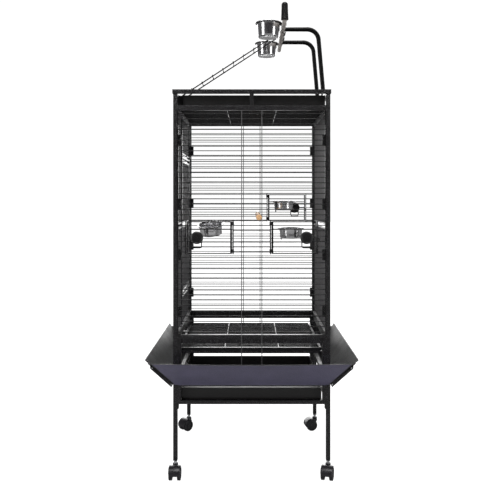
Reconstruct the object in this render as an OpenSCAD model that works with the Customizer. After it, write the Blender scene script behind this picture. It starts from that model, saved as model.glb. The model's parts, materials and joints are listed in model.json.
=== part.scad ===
// Playtop bird cage on a wheeled stand.
// Millimetres. Origin on the floor under the middle of the cage, X right, Y to the back, Z up.
// The main door, the grate, the tray and the roof tray all open to the left (-X).

/* [Body] */
// Outer width of the cage, along X
body_w = 590; // [580:1:600]
// Outer depth of the cage, along Y
body_d = 560; // [550:1:570]
// Side of the square frame tube
tube_w = 16; // [15:0.5:17]
// Wall of the frame tube
tube_t = 1.2; // [1:0.1:2]
// Width of the frame column beside each leg
column_w = 14; // [12:1:16]

/* [Heights] */
// Underside of the legs, top of the caster collars
leg_z = 68; // [64:1:72]
// Underside of the tray rails
tray_rail_z = 280; // [276:1:284]
// Underside of the rails that carry the skirt
skirt_rail_z = 348; // [346:1:350]
// Underside of the grate
grate_z = 477; // [475:1:479]
// Underside of the rails under the cage walls
base_top_z = 508; // [506:1:510]
// Underside of the cage walls
cage_z = 540; // [538:1:542]
// Underside of the ceiling rails
ceiling_z = 1383; // [1380:1:1386]
// Underside of the top rails
top_rail_z = 1446; // [1444:1:1448]
// Middle of the top perch
perch_z = 1728; // [1720:1:1736]

/* [Wires] */
// Diameter of the wall wires
wire_d = 3; // [2.6:0.1:3.2]
// Diameter of the grate and ceiling wires
grate_wire_d = 4; // [3.6:0.1:4.2]
// Distance from wire to wire
wire_pitch = 20; // [19:0.5:21]
// Distance of the upright tie wires from the middle
tie_x = 38; // [36:1:39]

/* [Skirt] */
// How far the front and back skirt panels stand out
skirt_out_y = 105; // [90:1:110]
// How far the side skirt panels stand out
skirt_out_x = 91; // [85:1:95]
// Height of the top edge of the side panels
skirt_top_z = 467; // [460:1:470]
// Height of the top edge of the front and back panels
skirt_front_top_z = 456; // [450:1:460]
// Sheet thickness of skirt and trays
sheet_t = 1.5; // [1.2:0.1:2]

/* [Feeders] */
// Edge of a feeder opening nearest the middle
feeder_x0 = 72; // [71:1:74]
// Edge of a feeder opening nearest the post
feeder_x1 = 245; // [243:1:247]
// Bottom of the side feeder openings
feeder_z = 842; // [841:1:843]
// Bottom of the far feeder opening
far_feeder_z = 948; // [947:1:949]
// Height of a feeder opening
feeder_h = 126; // [124:1:126]
// Rim radius of a feeder bowl
bowl_rim_r = 53; // [50:1:54]
// Body radius of a feeder bowl
bowl_r = 44; // [42:1:45]
// Height of a feeder bowl
bowl_h = 42; // [38:1:44]

/* [Main door] */
// Door edge nearest the front
door_y0 = -62; // [-64:1:-60]
// Door edge at the hinge
door_y1 = 238; // [236:1:239]
// Bottom of the door
door_z0 = 675; // [673:1:677]
// Top of the door
door_z1 = 1209; // [1207:1:1211]

/* [Playtop] */
// Distance of the top perch from the middle
perch_x = 125; // [120:1:130]
// Radius of the top perch
perch_r = 8.5; // [8:0.1:9]
// Distance of each arm from the middle
arm_y = 112; // [108:1:116]
// Radius of the arm tubes
arm_r = 8; // [7:0.5:9]
// Bend radius of the arms
arm_bend_r = 45; // [40:1:50]
// Lean of the arm uprights, in degrees
arm_lean = 5; // [3:0.5:7]
// Distance of the top bowls from the middle, along Y
top_bowl_y = 172; // [168:1:176]
// Half width of the ladder
ladder_half = 39; // [35:1:45]
// Number of ladder rungs
ladder_rungs = 9; // [8:1:9]

/* [Casters] */
// Wheel radius
wheel_r = 25; // [24:1:26]
// Width of one wheel
wheel_w = 13; // [12:1:14]
// Clear distance between the two wheels
wheel_gap = 19; // [18:1:20]
// Distance from the stem to the axle
caster_trail = 18; // [16:1:20]
// Rest angle of the front left caster
yaw_fl = 180; // [0:1:360]
// Rest angle of the front right caster
yaw_fr = 165; // [0:1:360]
// Rest angle of the back left caster
yaw_bl = 135; // [0:1:360]
// Rest angle of the back right caster
yaw_br = 100; // [0:1:360]

/* [Hidden] */
$fn = 36;
eps = 0.2;                          // gap between parts that only meet in use
pin_gap = 0.05;                     // radial clearance of a pin in its bore
half_w = body_w / 2;
half_d = body_d / 2;
in_x = half_w - tube_w;             // inner face of the left and right walls
in_y = half_d - tube_w;             // inner face of the front and back walls
leg_x = half_w - tube_w / 2;
leg_y = half_d - tube_w / 2;
col_x = in_x - column_w;            // inner face of the frame columns
wire_y = half_d - wire_d / 2 - 0.1; // centre plane of the front wires
tie_y = half_d + wire_d / 2 + 0.1;  // centre plane of the tie wires
skirt_z = skirt_rail_z + 6;         // where the skirt sheet leaves the rail
skirt_head_half = 360;              // half width of the front panel's top edge
skirt_side_flare = 86;              // how much longer a side panel's top edge is, at each end
strap_t = 2.4;                      // corner angle: sheet and fin height
strap_w = 14;
tray_top_z = tray_rail_z + 57;      // top edge of the tray
lip_z = tray_top_z + 7;             // pull lip of the tray
lip_out = 14;
lip_half = 110;
side_top_z = top_rail_z + 14;       // top of the side top rails
roof_tray_top_z = top_rail_z - 4.5;   // top edge of the roof tray
roof_lip_z = roof_tray_top_z - 10.5;
first_wire_z = 550.75;              // lowest front wire
last_wire_z = 1370.75;              // highest front wire
edge_w = 4;                         // edge bars of the wire panels
frame_w = 8;                        // bars of the main door
mid_z = 945;                        // middle of the gap in the side walls
mid_gap = 6;                        // half of that gap
mid_bar = 6;                        // height of the bars beside the gap
jamb_y0 = door_y0 - 4;              // inner face of the front door jamb
jamb_y1 = door_y1 + 8;              // inner face of the back door jamb
jamb_w = 8;
lintel_gap = 8;                     // door to lintel
lintel_z = door_z1 + lintel_gap;
sill_z = door_z0 - lintel_gap - frame_w;
panel_gap = 10;                     // lintel to the grille above
feeder_pivot = [feeder_x0 - 2, half_d + 5.2];
feeder_pin_r = 2;
knuckle_dz = [6, feeder_h - 18];    // lowest points of the hinge knuckles above the opening
left_bowl_x = 157;                  // bowl centres, from the middle
right_bowl_x = 150;
far_bowl_x = 142;
feeder_bowl_in = 63;                // bowl centre inside the wall
feeder_bowl_z = 941;                // rim of the side feeder bowls
far_bowl_z = 1042;                  // rim of the far feeder bowl
left_bend = 12;                     // tilt of the left bowl holder, in degrees
left_roll = 5;
knob_x = 205;
far_knob_x = 196;
knob_r = 24;
main_pivot = [-half_w - 2.2, door_y1 + 4];
main_pin_r = 2.5;
latch_r = 3;                        // radius of a latch pin
top_bowl_x = 65;
top_bowl_z = 1738;
top_bowl_r = 45;
top_bowl_rim_r = 53;
top_bowl_h = 58;
ring_wire_r = 2.25;
ring_drop = 2 + ring_wire_r + 0.1;  // bowl rim to ring
perch_front_y = -250;
perch_back_y = 268;
dowel_x = 27;
dowel_z = 981;
dowel_r = 11;
axle_r = 3;
stem_r = 5;
weld_r = 0.35;                      // how far a weld bead stands out
weld_deg = 0.4;                     // root gap of a weld, as an angle of the arm bend
corners = [[-1, -1], [1, -1], [-1, 1], [1, 1]];
black = "#26262a";
slate = "#3f3d4b";
steel = "#c9cbcd";

// ---------- shared shapes ----------

// A block from one corner to the opposite one
module block(low, high) {
    translate(low) cube(high - low);
}

// A square tube along Z, centred on x and y
module upright(x, y, z0, z1, w = tube_w, d = tube_w) {
    difference() {
        block([x - w / 2, y - d / 2, z0], [x + w / 2, y + d / 2, z1]);
        block([x - w / 2 + tube_t, y - d / 2 + tube_t, z0 - 1], [x + w / 2 - tube_t, y + d / 2 - tube_t, z1 + 1]);
    }
}

// A rectangular tube between two corners, open at both ends along X
module rail_x(low, high) {
    difference() {
        block(low, high);
        block(low + [-1, tube_t, tube_t], high + [1, -tube_t, -tube_t]);
    }
}

// The same along Y
module rail_y(low, high) {
    difference() {
        block(low, high);
        block(low + [tube_t, -1, tube_t], high + [-tube_t, 1, -tube_t]);
    }
}

module rod_x(x0, x1, y, z, r) {
    translate([x0, y, z]) rotate([0, 90, 0]) cylinder(r = r, h = x1 - x0);
}

module rod_y(x, y0, y1, z, r) {
    translate([x, y1, z]) rotate([90, 0, 0]) cylinder(r = r, h = y1 - y0);
}

module rod_z(x, y, z0, z1, r) {
    translate([x, y, z0]) cylinder(r = r, h = z1 - z0);
}

// A straight rod between two points of the XZ plane
module rod_xz(p, q, y, r) {
    run = q - p;
    translate([p.x, y, p.y]) rotate([0, atan2(run.x, run.y), 0]) cylinder(r = r, h = norm(run));
}

// A wire ring, flat
module ring(r, wire_r) {
    rotate_extrude($fn = 72) translate([r, 0]) circle(r = wire_r, $fn = 24);
}

// Copies for the back: the front shapes turned end for end about the middle plane
module to_back() {
    mirror([0, 1, 0]) children();
}

module to_right() {
    mirror([1, 0, 0]) children();
}

// ---------- stand ----------

// Leg with its column and the tab under the column, front left
module leg_shape() {
    upright(-leg_x, -leg_y, leg_z, cage_z);
    upright(-in_x + column_w / 2, -leg_y, tray_rail_z, cage_z, w = column_w);
    translate([-in_x, -leg_y + 5, tray_rail_z])
        rotate([90, 0, 0])
            linear_extrude(10)
                polygon([[0, 0], [0, -19], [3, -19], [5, -16], [5, 0]]);
}

module leg_front_left() { color(black) leg_shape(); }
module leg_front_right() { color(black) to_right() leg_shape(); }
module leg_back_left() { color(black) to_back() leg_shape(); }
module leg_back_right() { color(black) to_back() to_right() leg_shape(); }

module caster_sockets() {
    side = tube_w - 2 * tube_t - 0.1;
    color(black)
        for (c = corners)
            translate([c.x * leg_x, c.y * leg_y, leg_z])
                difference() {
                    block([-side / 2, -side / 2, 0], [side / 2, side / 2, 36]);
                    translate([0, 0, -1]) cylinder(r = stem_r + pin_gap, h = 38);
                }
}

// Rails of the front frame: cage rail, grate guide, skirt rail, tray rail with its ledge
module front_rails_shape() {
    rail_x([-col_x, -half_d, cage_z - tube_w], [col_x, -in_y, cage_z]);
    rail_x([-col_x, -half_d + 4, base_top_z], [col_x, -in_y, cage_z - tube_w + 1]);
    block([-in_x, -in_y, grate_z - 7], [in_x, -in_y + 14, grate_z - 1]);
    rail_x([-col_x, -half_d, skirt_rail_z], [col_x, -in_y, skirt_rail_z + 14]);
    rail_x([-col_x, -half_d, tray_rail_z], [col_x, -in_y, tray_rail_z + 14]);
    block([-col_x, -in_y, tray_rail_z + 12], [col_x, -half_d + 38, tray_rail_z + 14]);
}

module base_front_rails() { color(black) front_rails_shape(); }
module base_back_rails() { color(black) to_back() front_rails_shape(); }

module side_rails_shape() {
    rail_y([-half_w, -in_y, base_top_z], [-in_x, in_y, cage_z]);
    rail_y([-half_w, -in_y, skirt_rail_z], [-in_x, in_y, skirt_rail_z + 14]);
    rail_y([-half_w, -in_y, tray_rail_z], [-in_x, in_y, tray_rail_z + 14]);
}

module base_side_rails() {
    color(black) {
        side_rails_shape();
        to_right() side_rails_shape();
    }
}

// Wires along X with two cross wires, inside a bar frame
module grate() {
    x0 = -in_x + 1;
    x1 = col_x - 2;
    y1 = in_y - 3;
    wire_z = grate_z + 8;
    color(black) {
        difference() {
            block([x0, -y1, grate_z], [x1, y1, grate_z + 12]);
            block([x0 + frame_w, -y1 + frame_w, grate_z - 1], [x1 - frame_w, y1 - frame_w, grate_z + 13]);
        }
        for (i = [-12:12])
            rod_x(x0 + 4, x1 - 4, i * wire_pitch, wire_z, grate_wire_d / 2);
        for (s = [-1, 1])
            rod_y(s * 102, -y1 + 4, y1 - 4, wire_z + grate_wire_d / 2 + wire_d / 2 - 0.8, wire_d / 2);
        // pull bar, between the left legs
        block([-half_w - 3, -90, grate_z + 2], [-half_w, 90, grate_z + 10]);
        for (s = [-1, 1])
            block([-half_w - 1, s * 80 - 4, grate_z + 3], [x0 + 2, s * 80 + 4, grate_z + 9]);
    }
}

// A sheet pan, open at the top: outer corners, then the wall
module pan(low, high) {
    difference() {
        block(low, high);
        block(low + [sheet_t, sheet_t, sheet_t], high + [-sheet_t, -sheet_t, 1]);
    }
}

module tray() {
    z0 = tray_rail_z + 14 + eps;
    color(black) {
        pan([-in_x, -in_y + 2, z0], [col_x - 2, in_y - 2, tray_top_z]);
        block([-half_w - sheet_t, -in_y + 2, z0], [-half_w, in_y - 2, lip_z]);
        block([-half_w - 1, -in_y + 2, z0], [-in_x + 1, in_y - 2, z0 + sheet_t]);
        // pull lip along the front plate
        block([-half_w - lip_out, -lip_half, lip_z - sheet_t], [-half_w - 0.5, lip_half, lip_z]);
        block([-half_w - lip_out, -lip_half, lip_z - 8], [-half_w - lip_out + sheet_t, lip_half, lip_z]);
    }
}

// A sloped trapezoid sheet: half widths at the foot and top, run outwards, rise.
// It leans towards -Y from the foot line Y = 0, Z = 0. The back face is on that line.
module sloped_sheet(foot, head, out, rise, t = sheet_t) {
    rotate([90 + atan2(out, rise), 0, 0])
        linear_extrude(t)
            polygon([[-foot, 0], [foot, 0], [head, norm([out, rise])], [-head, norm([out, rise])]]);
}

module skirt_y_shape() {
    translate([0, -half_d - eps, skirt_z])
        sloped_sheet(half_w - 6, skirt_head_half, skirt_out_y, skirt_front_top_z - skirt_z);
    block([-col_x, -half_d - eps - sheet_t, skirt_z - 2], [col_x, -half_d - eps, skirt_z + 12]);
}

module skirt_x_shape() {
    rotate([0, 0, -90]) {
        translate([0, -half_w - eps, skirt_z])
            sloped_sheet(half_d, half_d + skirt_side_flare, skirt_out_x, skirt_top_z - skirt_z);
        block([-in_y, -half_w - eps - sheet_t, skirt_z - 2], [in_y, -half_w - eps, skirt_z + 12]);
    }
}

module skirt_front() { color(slate) skirt_y_shape(); }
module skirt_back() { color(black) to_back() skirt_y_shape(); }
module skirt_left() { color(black) skirt_x_shape(); }
module skirt_right() { color(black) to_right() skirt_x_shape(); }

// Corner angle in the slit between two skirt panels: a web that fills the slit, a fin below it
// and the two screws through the fin. The run is halfway between the ends of the panels.
module strap_shape() {
    low_front = [-half_w + 6, -half_d - eps];
    low_side = [-half_w - eps, -half_d];
    rise = skirt_front_top_z - skirt_z - 2;
    part_y = rise / (skirt_front_top_z - skirt_z);
    part_x = rise / (skirt_top_z - skirt_z);
    high_front = low_front + part_y * [-(skirt_head_half - half_w + 6), -skirt_out_y];
    high_side = low_side + part_x * [-skirt_out_x, -skirt_side_flare];
    low = (low_front + low_side) / 2;
    run = (high_front + high_side) / 2 - low;
    length = norm([run.x, run.y, rise]);
    slit = norm(high_front - high_side) / 2;
    translate([low.x, low.y, skirt_z])
        rotate([0, -atan2(rise, norm(run)), atan2(run.y, run.x)]) {
            translate([0, 0, -strap_t - 0.5])
                linear_extrude(strap_t) polygon([[6, -1.6], [length, -slit + 3], [length, slit - 3], [6, 1.6]]);
            translate([0, strap_t / 2, 0]) rotate([90, 0, 0]) linear_extrude(strap_t)
                polygon([[6, -1], [length, -1], [length - 12, -strap_w], [6, -strap_w]]);
            for (x = [14, length - 20])
                rod_y(x, -2.6, 2.6, -strap_w / 2 - 1, 3);
        }
}

module skirt_straps() {
    color(black)
        for (c = corners)
            mirror([c.x < 0 ? 0 : 1, 0, 0]) mirror([0, c.y < 0 ? 0 : 1, 0]) strap_shape();
}

// ---------- casters ----------

// Hood in its own place: stem on Z, axle along X at the trail
module hood_shape() {
    web = wheel_gap - 2;
    full = wheel_gap + 2 * wheel_w + 1;
    difference() {
        union() {
            // web between the wheels
            translate([-web / 2, 0, 0]) rotate([90, 0, 90]) linear_extrude(web)
                polygon([
                    [caster_trail - 10, 14], [caster_trail + 8, 14], [caster_trail + 20, 26], [caster_trail + 18, 42],
                    [caster_trail, 54], [-10, 58], [-10, 44], [-4, 30]
                ]);
            // shell over the wheels
            translate([-full / 2, caster_trail, wheel_r]) rotate([90, 0, 90]) linear_extrude(full)
                difference() {
                    circle(r = wheel_r + 5.5, $fn = 72);
                    circle(r = wheel_r + 1.5, $fn = 72);
                    polygon([[0, 0], [80, -6], [80, -80], [-80, -80], [-80, 40], [-30, 16]]);
                }
            translate([0, 0, 44]) cylinder(r = 10, h = 14);
            translate([0, 0, 58]) cylinder(r = 7, h = 10 - eps);
            translate([0, 0, 58]) cylinder(r = stem_r, h = 40);
        }
        rod_x(-40, 40, caster_trail, wheel_r, axle_r + pin_gap);
    }
}

module wheels_shape() {
    for (s = [0, 1])
        mirror([s, 0, 0])
            translate([wheel_gap / 2, caster_trail, wheel_r])
                rotate([90, 0, 90])
                    rotate_extrude($fn = 72)
                        polygon([
                            [0, 0], [wheel_r - 2, 0], [wheel_r, 2], [wheel_r, wheel_w - 2], [wheel_r - 2, wheel_w],
                            [wheel_r - 6, wheel_w], [wheel_r - 7, wheel_w - 2.5], [8, wheel_w - 2.5], [7, wheel_w], [0, wheel_w]
                        ]);
    rod_x(-wheel_gap / 2 - 1, wheel_gap / 2 + 1, caster_trail, wheel_r, axle_r);
}

module at_caster(side_x, side_y, yaw) {
    translate([side_x * leg_x, side_y * leg_y, 0]) rotate([0, 0, yaw]) children();
}

module caster_hood_fl() { color(black) at_caster(-1, -1, yaw_fl) hood_shape(); }
module caster_hood_fr() { color(black) at_caster(1, -1, yaw_fr) hood_shape(); }
module caster_hood_bl() { color(black) at_caster(-1, 1, yaw_bl) hood_shape(); }
module caster_hood_br() { color(black) at_caster(1, 1, yaw_br) hood_shape(); }
module caster_wheels_fl() { color(black) at_caster(-1, -1, yaw_fl) wheels_shape(); }
module caster_wheels_fr() { color(black) at_caster(1, -1, yaw_fr) wheels_shape(); }
module caster_wheels_bl() { color(black) at_caster(-1, 1, yaw_bl) wheels_shape(); }
module caster_wheels_br() { color(black) at_caster(1, 1, yaw_br) wheels_shape(); }

// ---------- cage frame ----------

module post_shape() {
    upright(-leg_x, -leg_y, cage_z, top_rail_z);
}

module post_front_left() { color(black) post_shape(); }
module post_front_right() { color(black) to_right() post_shape(); }
module post_back_left() { color(black) to_back() post_shape(); }
module post_back_right() { color(black) to_back() to_right() post_shape(); }

module ceiling_rails() {
    color(black)
        for (s = [0, 1]) {
            mirror([0, s, 0]) rail_x([-in_x, -half_d, ceiling_z], [in_x, -in_y, ceiling_z + 19]);
            mirror([s, 0, 0]) rail_y([-half_w, -in_y + eps, ceiling_z], [-in_x, in_y - eps, ceiling_z + 19]);
        }
}

module ceiling_grille() {
    wire_z = ceiling_z + 7;
    color(black) {
        for (i = [-12:12])
            rod_x(-in_x + 2, in_x - 2, i * wire_pitch, wire_z, grate_wire_d / 2);
        for (s = [-1, 1]) {
            rod_y(s * 94, -in_y + 1, in_y - 1, wire_z - grate_wire_d / 2 - wire_d / 2 + 0.8, wire_d / 2);
            block([s * (in_x - 3) - 3, -in_y + 1, wire_z - 3], [s * (in_x - 3) + 3, in_y - 1, wire_z + 3]);
        }
    }
}

// Top rails with a short post in the middle of the front and back. The side rails are a little lower.
module top_rails() {
    lip = 3;
    color(black)
        for (s = [-1, 1]) {
            mirror([0, s < 0 ? 0 : 1, 0])
                block([-half_w - lip, -half_d - lip, top_rail_z], [half_w + lip, -in_y, top_rail_z + 15]);
            mirror([s < 0 ? 0 : 1, 0, 0])
                block([-half_w - lip, -in_y - 1, top_rail_z], [-in_x, in_y + 1, side_top_z]);
            upright(0, s * leg_y, ceiling_z + 19, top_rail_z, w = 15);
        }
}

// Roof tray. Its long walls step in beside the left posts.
module roof_tray() {
    z0 = ceiling_z + 19 + eps;
    z1 = roof_tray_top_z;
    x0 = -half_w + 8;
    step_x = -half_w + 36;
    x1 = in_x - 2;
    y1 = in_y - 2;
    step = 9;
    color(black) {
        block([x0, -y1 + step, z0], [step_x + 1, y1 - step, z0 + sheet_t]);
        block([step_x, -y1, z0], [x1, y1, z0 + sheet_t]);
        for (s = [0, 1])
            mirror([0, s, 0]) {
                block([step_x, -y1, z0], [x1, -y1 + sheet_t, z1]);
                block([step_x, -y1, z0], [step_x + sheet_t, -y1 + step + sheet_t, z1]);
                block([x0, -y1 + step, z0], [step_x + sheet_t, -y1 + step + sheet_t, z1]);
            }
        block([x1 - sheet_t, -y1, z0], [x1, y1, z1]);
        block([x0, -y1 + step, z0], [x0 + sheet_t, y1 - step, z1]);
        block([-half_w - 6, -60, roof_lip_z - sheet_t], [x0 + 1, 60, roof_lip_z]);
        block([-half_w - 6, -60, roof_lip_z - 10], [-half_w - 6 + sheet_t, 60, roof_lip_z]);
    }
}

// Clips that hold the side walls to the posts
module panel_clips() {
    color(black)
        for (c = corners)
            mirror([c.x < 0 ? 0 : 1, 0, 0]) mirror([0, c.y < 0 ? 0 : 1, 0])
                for (z = [626, 840, 1030, 1270])
                    block([-in_x, -in_y - 6, z - 21], [-in_x + 14, -in_y - 3, z + 21]);
}

// ---------- walls of horizontal wires ----------

// A strip of front wires between two edge bars
module wire_strip(x0, x1, z0, z1) {
    for (z = [first_wire_z:wire_pitch:last_wire_z])
        if (z > z0 + 1 && z < z1 - 1)
            rod_x(x0 + 1, x1 - 1, -wire_y, z, wire_d / 2);
    for (x = [x0, x1 - edge_w])
        block([x, -wire_y - 2, z0], [x + edge_w, -wire_y + 2, z1]);
}

// Pin rod and lugs of a feeder hinge, front right
module feeder_pins(z) {
    rod_z(feeder_pivot.x, -feeder_pivot.y, z + 2, z + feeder_h + 3, feeder_pin_r);
    for (dz = knuckle_dz)
        block(
            [feeder_pivot.x - 2, -feeder_pivot.y - 2, z + dz - 3],
            [feeder_pivot.x + 2, -wire_y, z + dz]
        );
}

module front_grille_shape(z) {
    wire_strip(-in_x, in_x, z + feeder_h, ceiling_z);
    wire_strip(-in_x, in_x, cage_z, z);
}

module front_grille() {
    color(black) front_grille_shape(feeder_z);
}

module front_grille_middle() {
    z1 = feeder_z + feeder_h - eps;
    color(black) {
        wire_strip(-feeder_x0, feeder_x0, feeder_z + eps, z1);
        wire_strip(feeder_x1, in_x, feeder_z + eps, z1);
        wire_strip(-in_x, -feeder_x1, feeder_z + eps, z1);
        feeder_pins(feeder_z);
        to_right() feeder_pins(feeder_z);
    }
}

module back_grille() {
    color(black) to_back() front_grille_shape(far_feeder_z);
}

module back_grille_middle() {
    z1 = far_feeder_z + feeder_h - eps;
    color(black)
        to_back() {
            wire_strip(-in_x, feeder_x0, far_feeder_z + eps, z1);
            wire_strip(feeder_x1, in_x, far_feeder_z + eps, z1);
            feeder_pins(far_feeder_z);
        }
}

// Upright wires over the front and back walls
module tie_wires() {
    color(black)
        for (sx = [-1, 1], sy = [-1, 1])
            rod_z(sx * tie_x, sy * tie_y, skirt_z + 13, ceiling_z, wire_d / 2);
}

// ---------- walls of upright wires ----------

// A strip of left wall wires between a low and a high bar
module upright_strip(y0, y1, z0, z1, low_bar = edge_w, high_bar = edge_w) {
    mid_x = -half_w + tube_w / 2;
    count = floor((y1 - y0 - 2) / wire_pitch);
    first = (y0 + y1 - count * wire_pitch) / 2;
    for (i = [0:count])
        rod_z(mid_x, first + i * wire_pitch, z0 + 1, z1 - 1, wire_d / 2);
    block([mid_x - 3, y0, z0], [mid_x + 3, y1, z0 + low_bar]);
    block([mid_x - 3, y0, z1 - high_bar], [mid_x + 3, y1, z1]);
}

module two_sections(y0, y1) {
    upright_strip(y0, y1, mid_z + mid_gap, ceiling_z, low_bar = mid_bar);
    upright_strip(y0, y1, cage_z, mid_z - mid_gap, high_bar = mid_bar);
}

module left_grille_front() {
    color(black) two_sections(-in_y, jamb_y0 - jamb_w);
}

module left_grille_ends() {
    color(black) {
        upright_strip(jamb_y0, jamb_y1, lintel_z + frame_w + panel_gap, ceiling_z);
        upright_strip(jamb_y0, jamb_y1, cage_z, sill_z - panel_gap);
    }
}

// Fixed frame round the main door, with the hinge pins
module door_jambs() {
    x0 = -half_w + 2;
    x1 = -in_x - 2;
    color(black) {
        for (y = [jamb_y0 - jamb_w, jamb_y1])
            block([x0, y, cage_z], [x1, y + jamb_w, ceiling_z]);
        for (z = [sill_z, lintel_z])
            block([x0, jamb_y0 - 1, z], [x1, jamb_y1 + 1, z + frame_w]);
        for (z = [door_z0 + 60, door_z1 - 90]) {
            rod_z(main_pivot.x, main_pivot.y, z - 3, z + 30, main_pin_r);
            block([main_pivot.x - 3, main_pivot.y - 3, z - 5], [main_pivot.x + 3, jamb_y1 + jamb_w, z]);
            block([main_pivot.x - 3, jamb_y1, z - 5], [x0 + 1, jamb_y1 + jamb_w, z]);
        }
    }
}

module right_grille() {
    color(black) to_right() two_sections(-in_y, in_y);
}

// Tall door of the left wall, with its knuckles and latch pin
module main_door() {
    mid_x = -half_w + tube_w / 2;
    x0 = mid_x - 4;
    x1 = mid_x + 4;
    color(black) {
        difference() {
            union() {
                difference() {
                    block([x0, door_y0, door_z0], [x1, door_y1, door_z1]);
                    block([x0 - 1, door_y0 + frame_w, door_z0 + frame_w], [x1 + 1, door_y1 - frame_w, door_z1 - frame_w]);
                }
                for (z = [mid_z - mid_gap - mid_bar, mid_z + mid_gap])
                    block([x0 + 1, door_y0 + 1, z], [x1 - 1, door_y1 - 1, z + mid_bar]);
                for (z = [door_z0 + 60, door_z1 - 90]) {
                    rod_z(main_pivot.x, main_pivot.y, z + 1, z + 25, 4.5);
                    block([main_pivot.x, door_y1 - frame_w, z + 3], [x0 + 1, main_pivot.y, z + 23]);
                }
                // plate and pin of the latch
                block([x0 - 1, door_y0, mid_z - 25], [x0 + 1, door_y0 + 60, mid_z + 25]);
                rod_x(x0 - 15, x0, door_y0 + 34, mid_z, latch_r);
            }
            for (z = [door_z0 + 60, door_z1 - 90])
                rod_z(main_pivot.x, main_pivot.y, z, z + 40, main_pin_r + pin_gap);
        }
        count = floor((door_y1 - door_y0 - 2 * frame_w) / wire_pitch);
        for (i = [1:count]) {
            y = door_y0 + frame_w + i * (door_y1 - door_y0 - 2 * frame_w) / (count + 1);
            rod_z(mid_x, y, door_z0 + frame_w - 1, mid_z - mid_gap - mid_bar + 1, wire_d / 2);
            rod_z(mid_x, y, mid_z + mid_gap + mid_bar - 1, door_z1 - frame_w + 1, wire_d / 2);
        }
    }
}

// Gravity latch: pin along Y at the origin, hook towards +X, handle loop below.
// The wall face is at Y = 0 and the knob stands out towards -Y.
module latch_shape(knob = knob_r) {
    wire_r = 2;
    wire_plane = -4.5;
    reach = 47;
    loop = 38;
    difference() {
        union() {
            translate([0, -3, 0]) rotate([90, 0, 0]) cylinder(r1 = knob - 1.5, r2 = knob, h = 3);
            translate([0, -6, 0]) rotate([90, 0, 0]) cylinder(r = knob, h = 7);
            translate([0, -13, 0]) rotate([90, 0, 0]) cylinder(r1 = knob, r2 = knob - 4, h = 4);
        }
        rod_y(0, -14.5, 0, 0, latch_r + pin_gap);
    }
    rod_x(knob - 6, reach, wire_plane, 0, wire_r);
    rod_z(reach, wire_plane, -16, 0, wire_r);
    translate([reach, wire_plane, 0]) sphere(r = wire_r);
    for (s = [-1, 1])
        rod_xz([s * (knob - 7), -8], [s * (knob - 6), -loop], wire_plane, wire_r);
    rod_x(-knob + 6, knob - 6, wire_plane, -loop, wire_r);
    for (s = [-1, 1])
        translate([s * (knob - 6), wire_plane, -loop]) sphere(r = wire_r);
}

module main_latch() {
    color(black)
        translate([-half_w + 3, door_y0 + 34, mid_z])
            rotate([0, 0, -90]) latch_shape(knob = 20);
}

// ---------- feeders ----------

// Puts a bowl and its ring at the holder's tilt: bent up from the door, and rolled, in degrees
module at_holder(bowl_x, bowl_z, bend, roll) {
    hold = [bowl_x, -half_d + 2, bowl_z - ring_drop];
    translate(hold) rotate([bend, roll, 0]) translate(-hold) children();
}

// Feeder door, front right: frame, bowl ring and its peg, hinge knuckles, latch plate and pin
module feeder_door_shape(z, bowl_x, bowl_z, knob = knob_x, bend = 0, roll = 0) {
    x0 = feeder_x0 + 2;
    x1 = feeder_x1 - 1.5;
    z0 = z + 2;
    z1 = z + feeder_h - 2;
    y0 = -half_d - 2;
    y1 = -half_d + 3;
    ring_z = bowl_z - ring_drop;
    ring_r = bowl_r + ring_wire_r + 0.3;
    bowl_y = -half_d + feeder_bowl_in;
    knob_z = z + feeder_h / 2;
    difference() {
        union() {
            block([x0, y0, z0], [x0 + 7, y1, z1]);
            block([x1 - 5, y0, z0], [x1, y1, z1]);
            block([x0, y0, z0], [x1, y1, z0 + 4]);
            block([x0, y0, z1 - 4], [x1, y1, z1]);
            for (dz = knuckle_dz) {
                rod_z(feeder_pivot.x, -feeder_pivot.y, z + dz + 0.5, z + dz + 14, 4);
                block([feeder_pivot.x, -feeder_pivot.y - 1.5, z + dz + 2], [x0 + 3, y0 + 1, z + dz + 12]);
            }
            rod_y(knob, y0, y0 + 2, knob_z, 12);
            block([knob, y0, knob_z - 3], [x1 - 2, y0 + 2, knob_z + 3]);
            rod_y(knob, y0 - 14, y0 + 1, knob_z, latch_r);
        }
        for (dz = knuckle_dz)
            rod_z(feeder_pivot.x, -feeder_pivot.y, z + dz - 5, z + dz + 18, feeder_pin_r + pin_gap);
    }
    for (wz = [first_wire_z:wire_pitch:last_wire_z])
        if (wz > z0 + 7 && wz < z1 - 7 && abs(wz - ring_z) > 6.5)
            rod_x(x0 + 4, x1 - 4, -wire_y + 1, wz, wire_d / 2);
    rod_x(x0 + 4, x1 - 4, -wire_y + 1, ring_z, 2);
    at_holder(bowl_x, bowl_z, bend, roll) {
        translate([bowl_x, bowl_y, ring_z]) ring(ring_r, ring_wire_r);
        for (s = [-1, 1])
            rod_y(bowl_x + s * 22, y1 - 1, bowl_y - ring_r + 7, ring_z, 2);
        // locking peg behind the bowl
        rod_z(bowl_x - ring_r * cos(40), bowl_y + ring_r * sin(40), bowl_z - bowl_h - 7, ring_z, 2.4);
    }
}

// Stainless bowl, standing on Z = 0
module bowl_shape(r, rim_r, h) {
    t = 0.9;
    foot = r - 7;
    rotate_extrude($fn = 72)
        polygon([
            [0, 0], [foot, 0], [foot + 4, 1.6], [r - 1, 8], [r, h - 2], [rim_r, h - 2], [rim_r, h],
            [r - t, h], [r - t - 1, 8.4], [foot + 3.6, 2.6], [foot, t], [0, t]
        ]);
}

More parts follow.
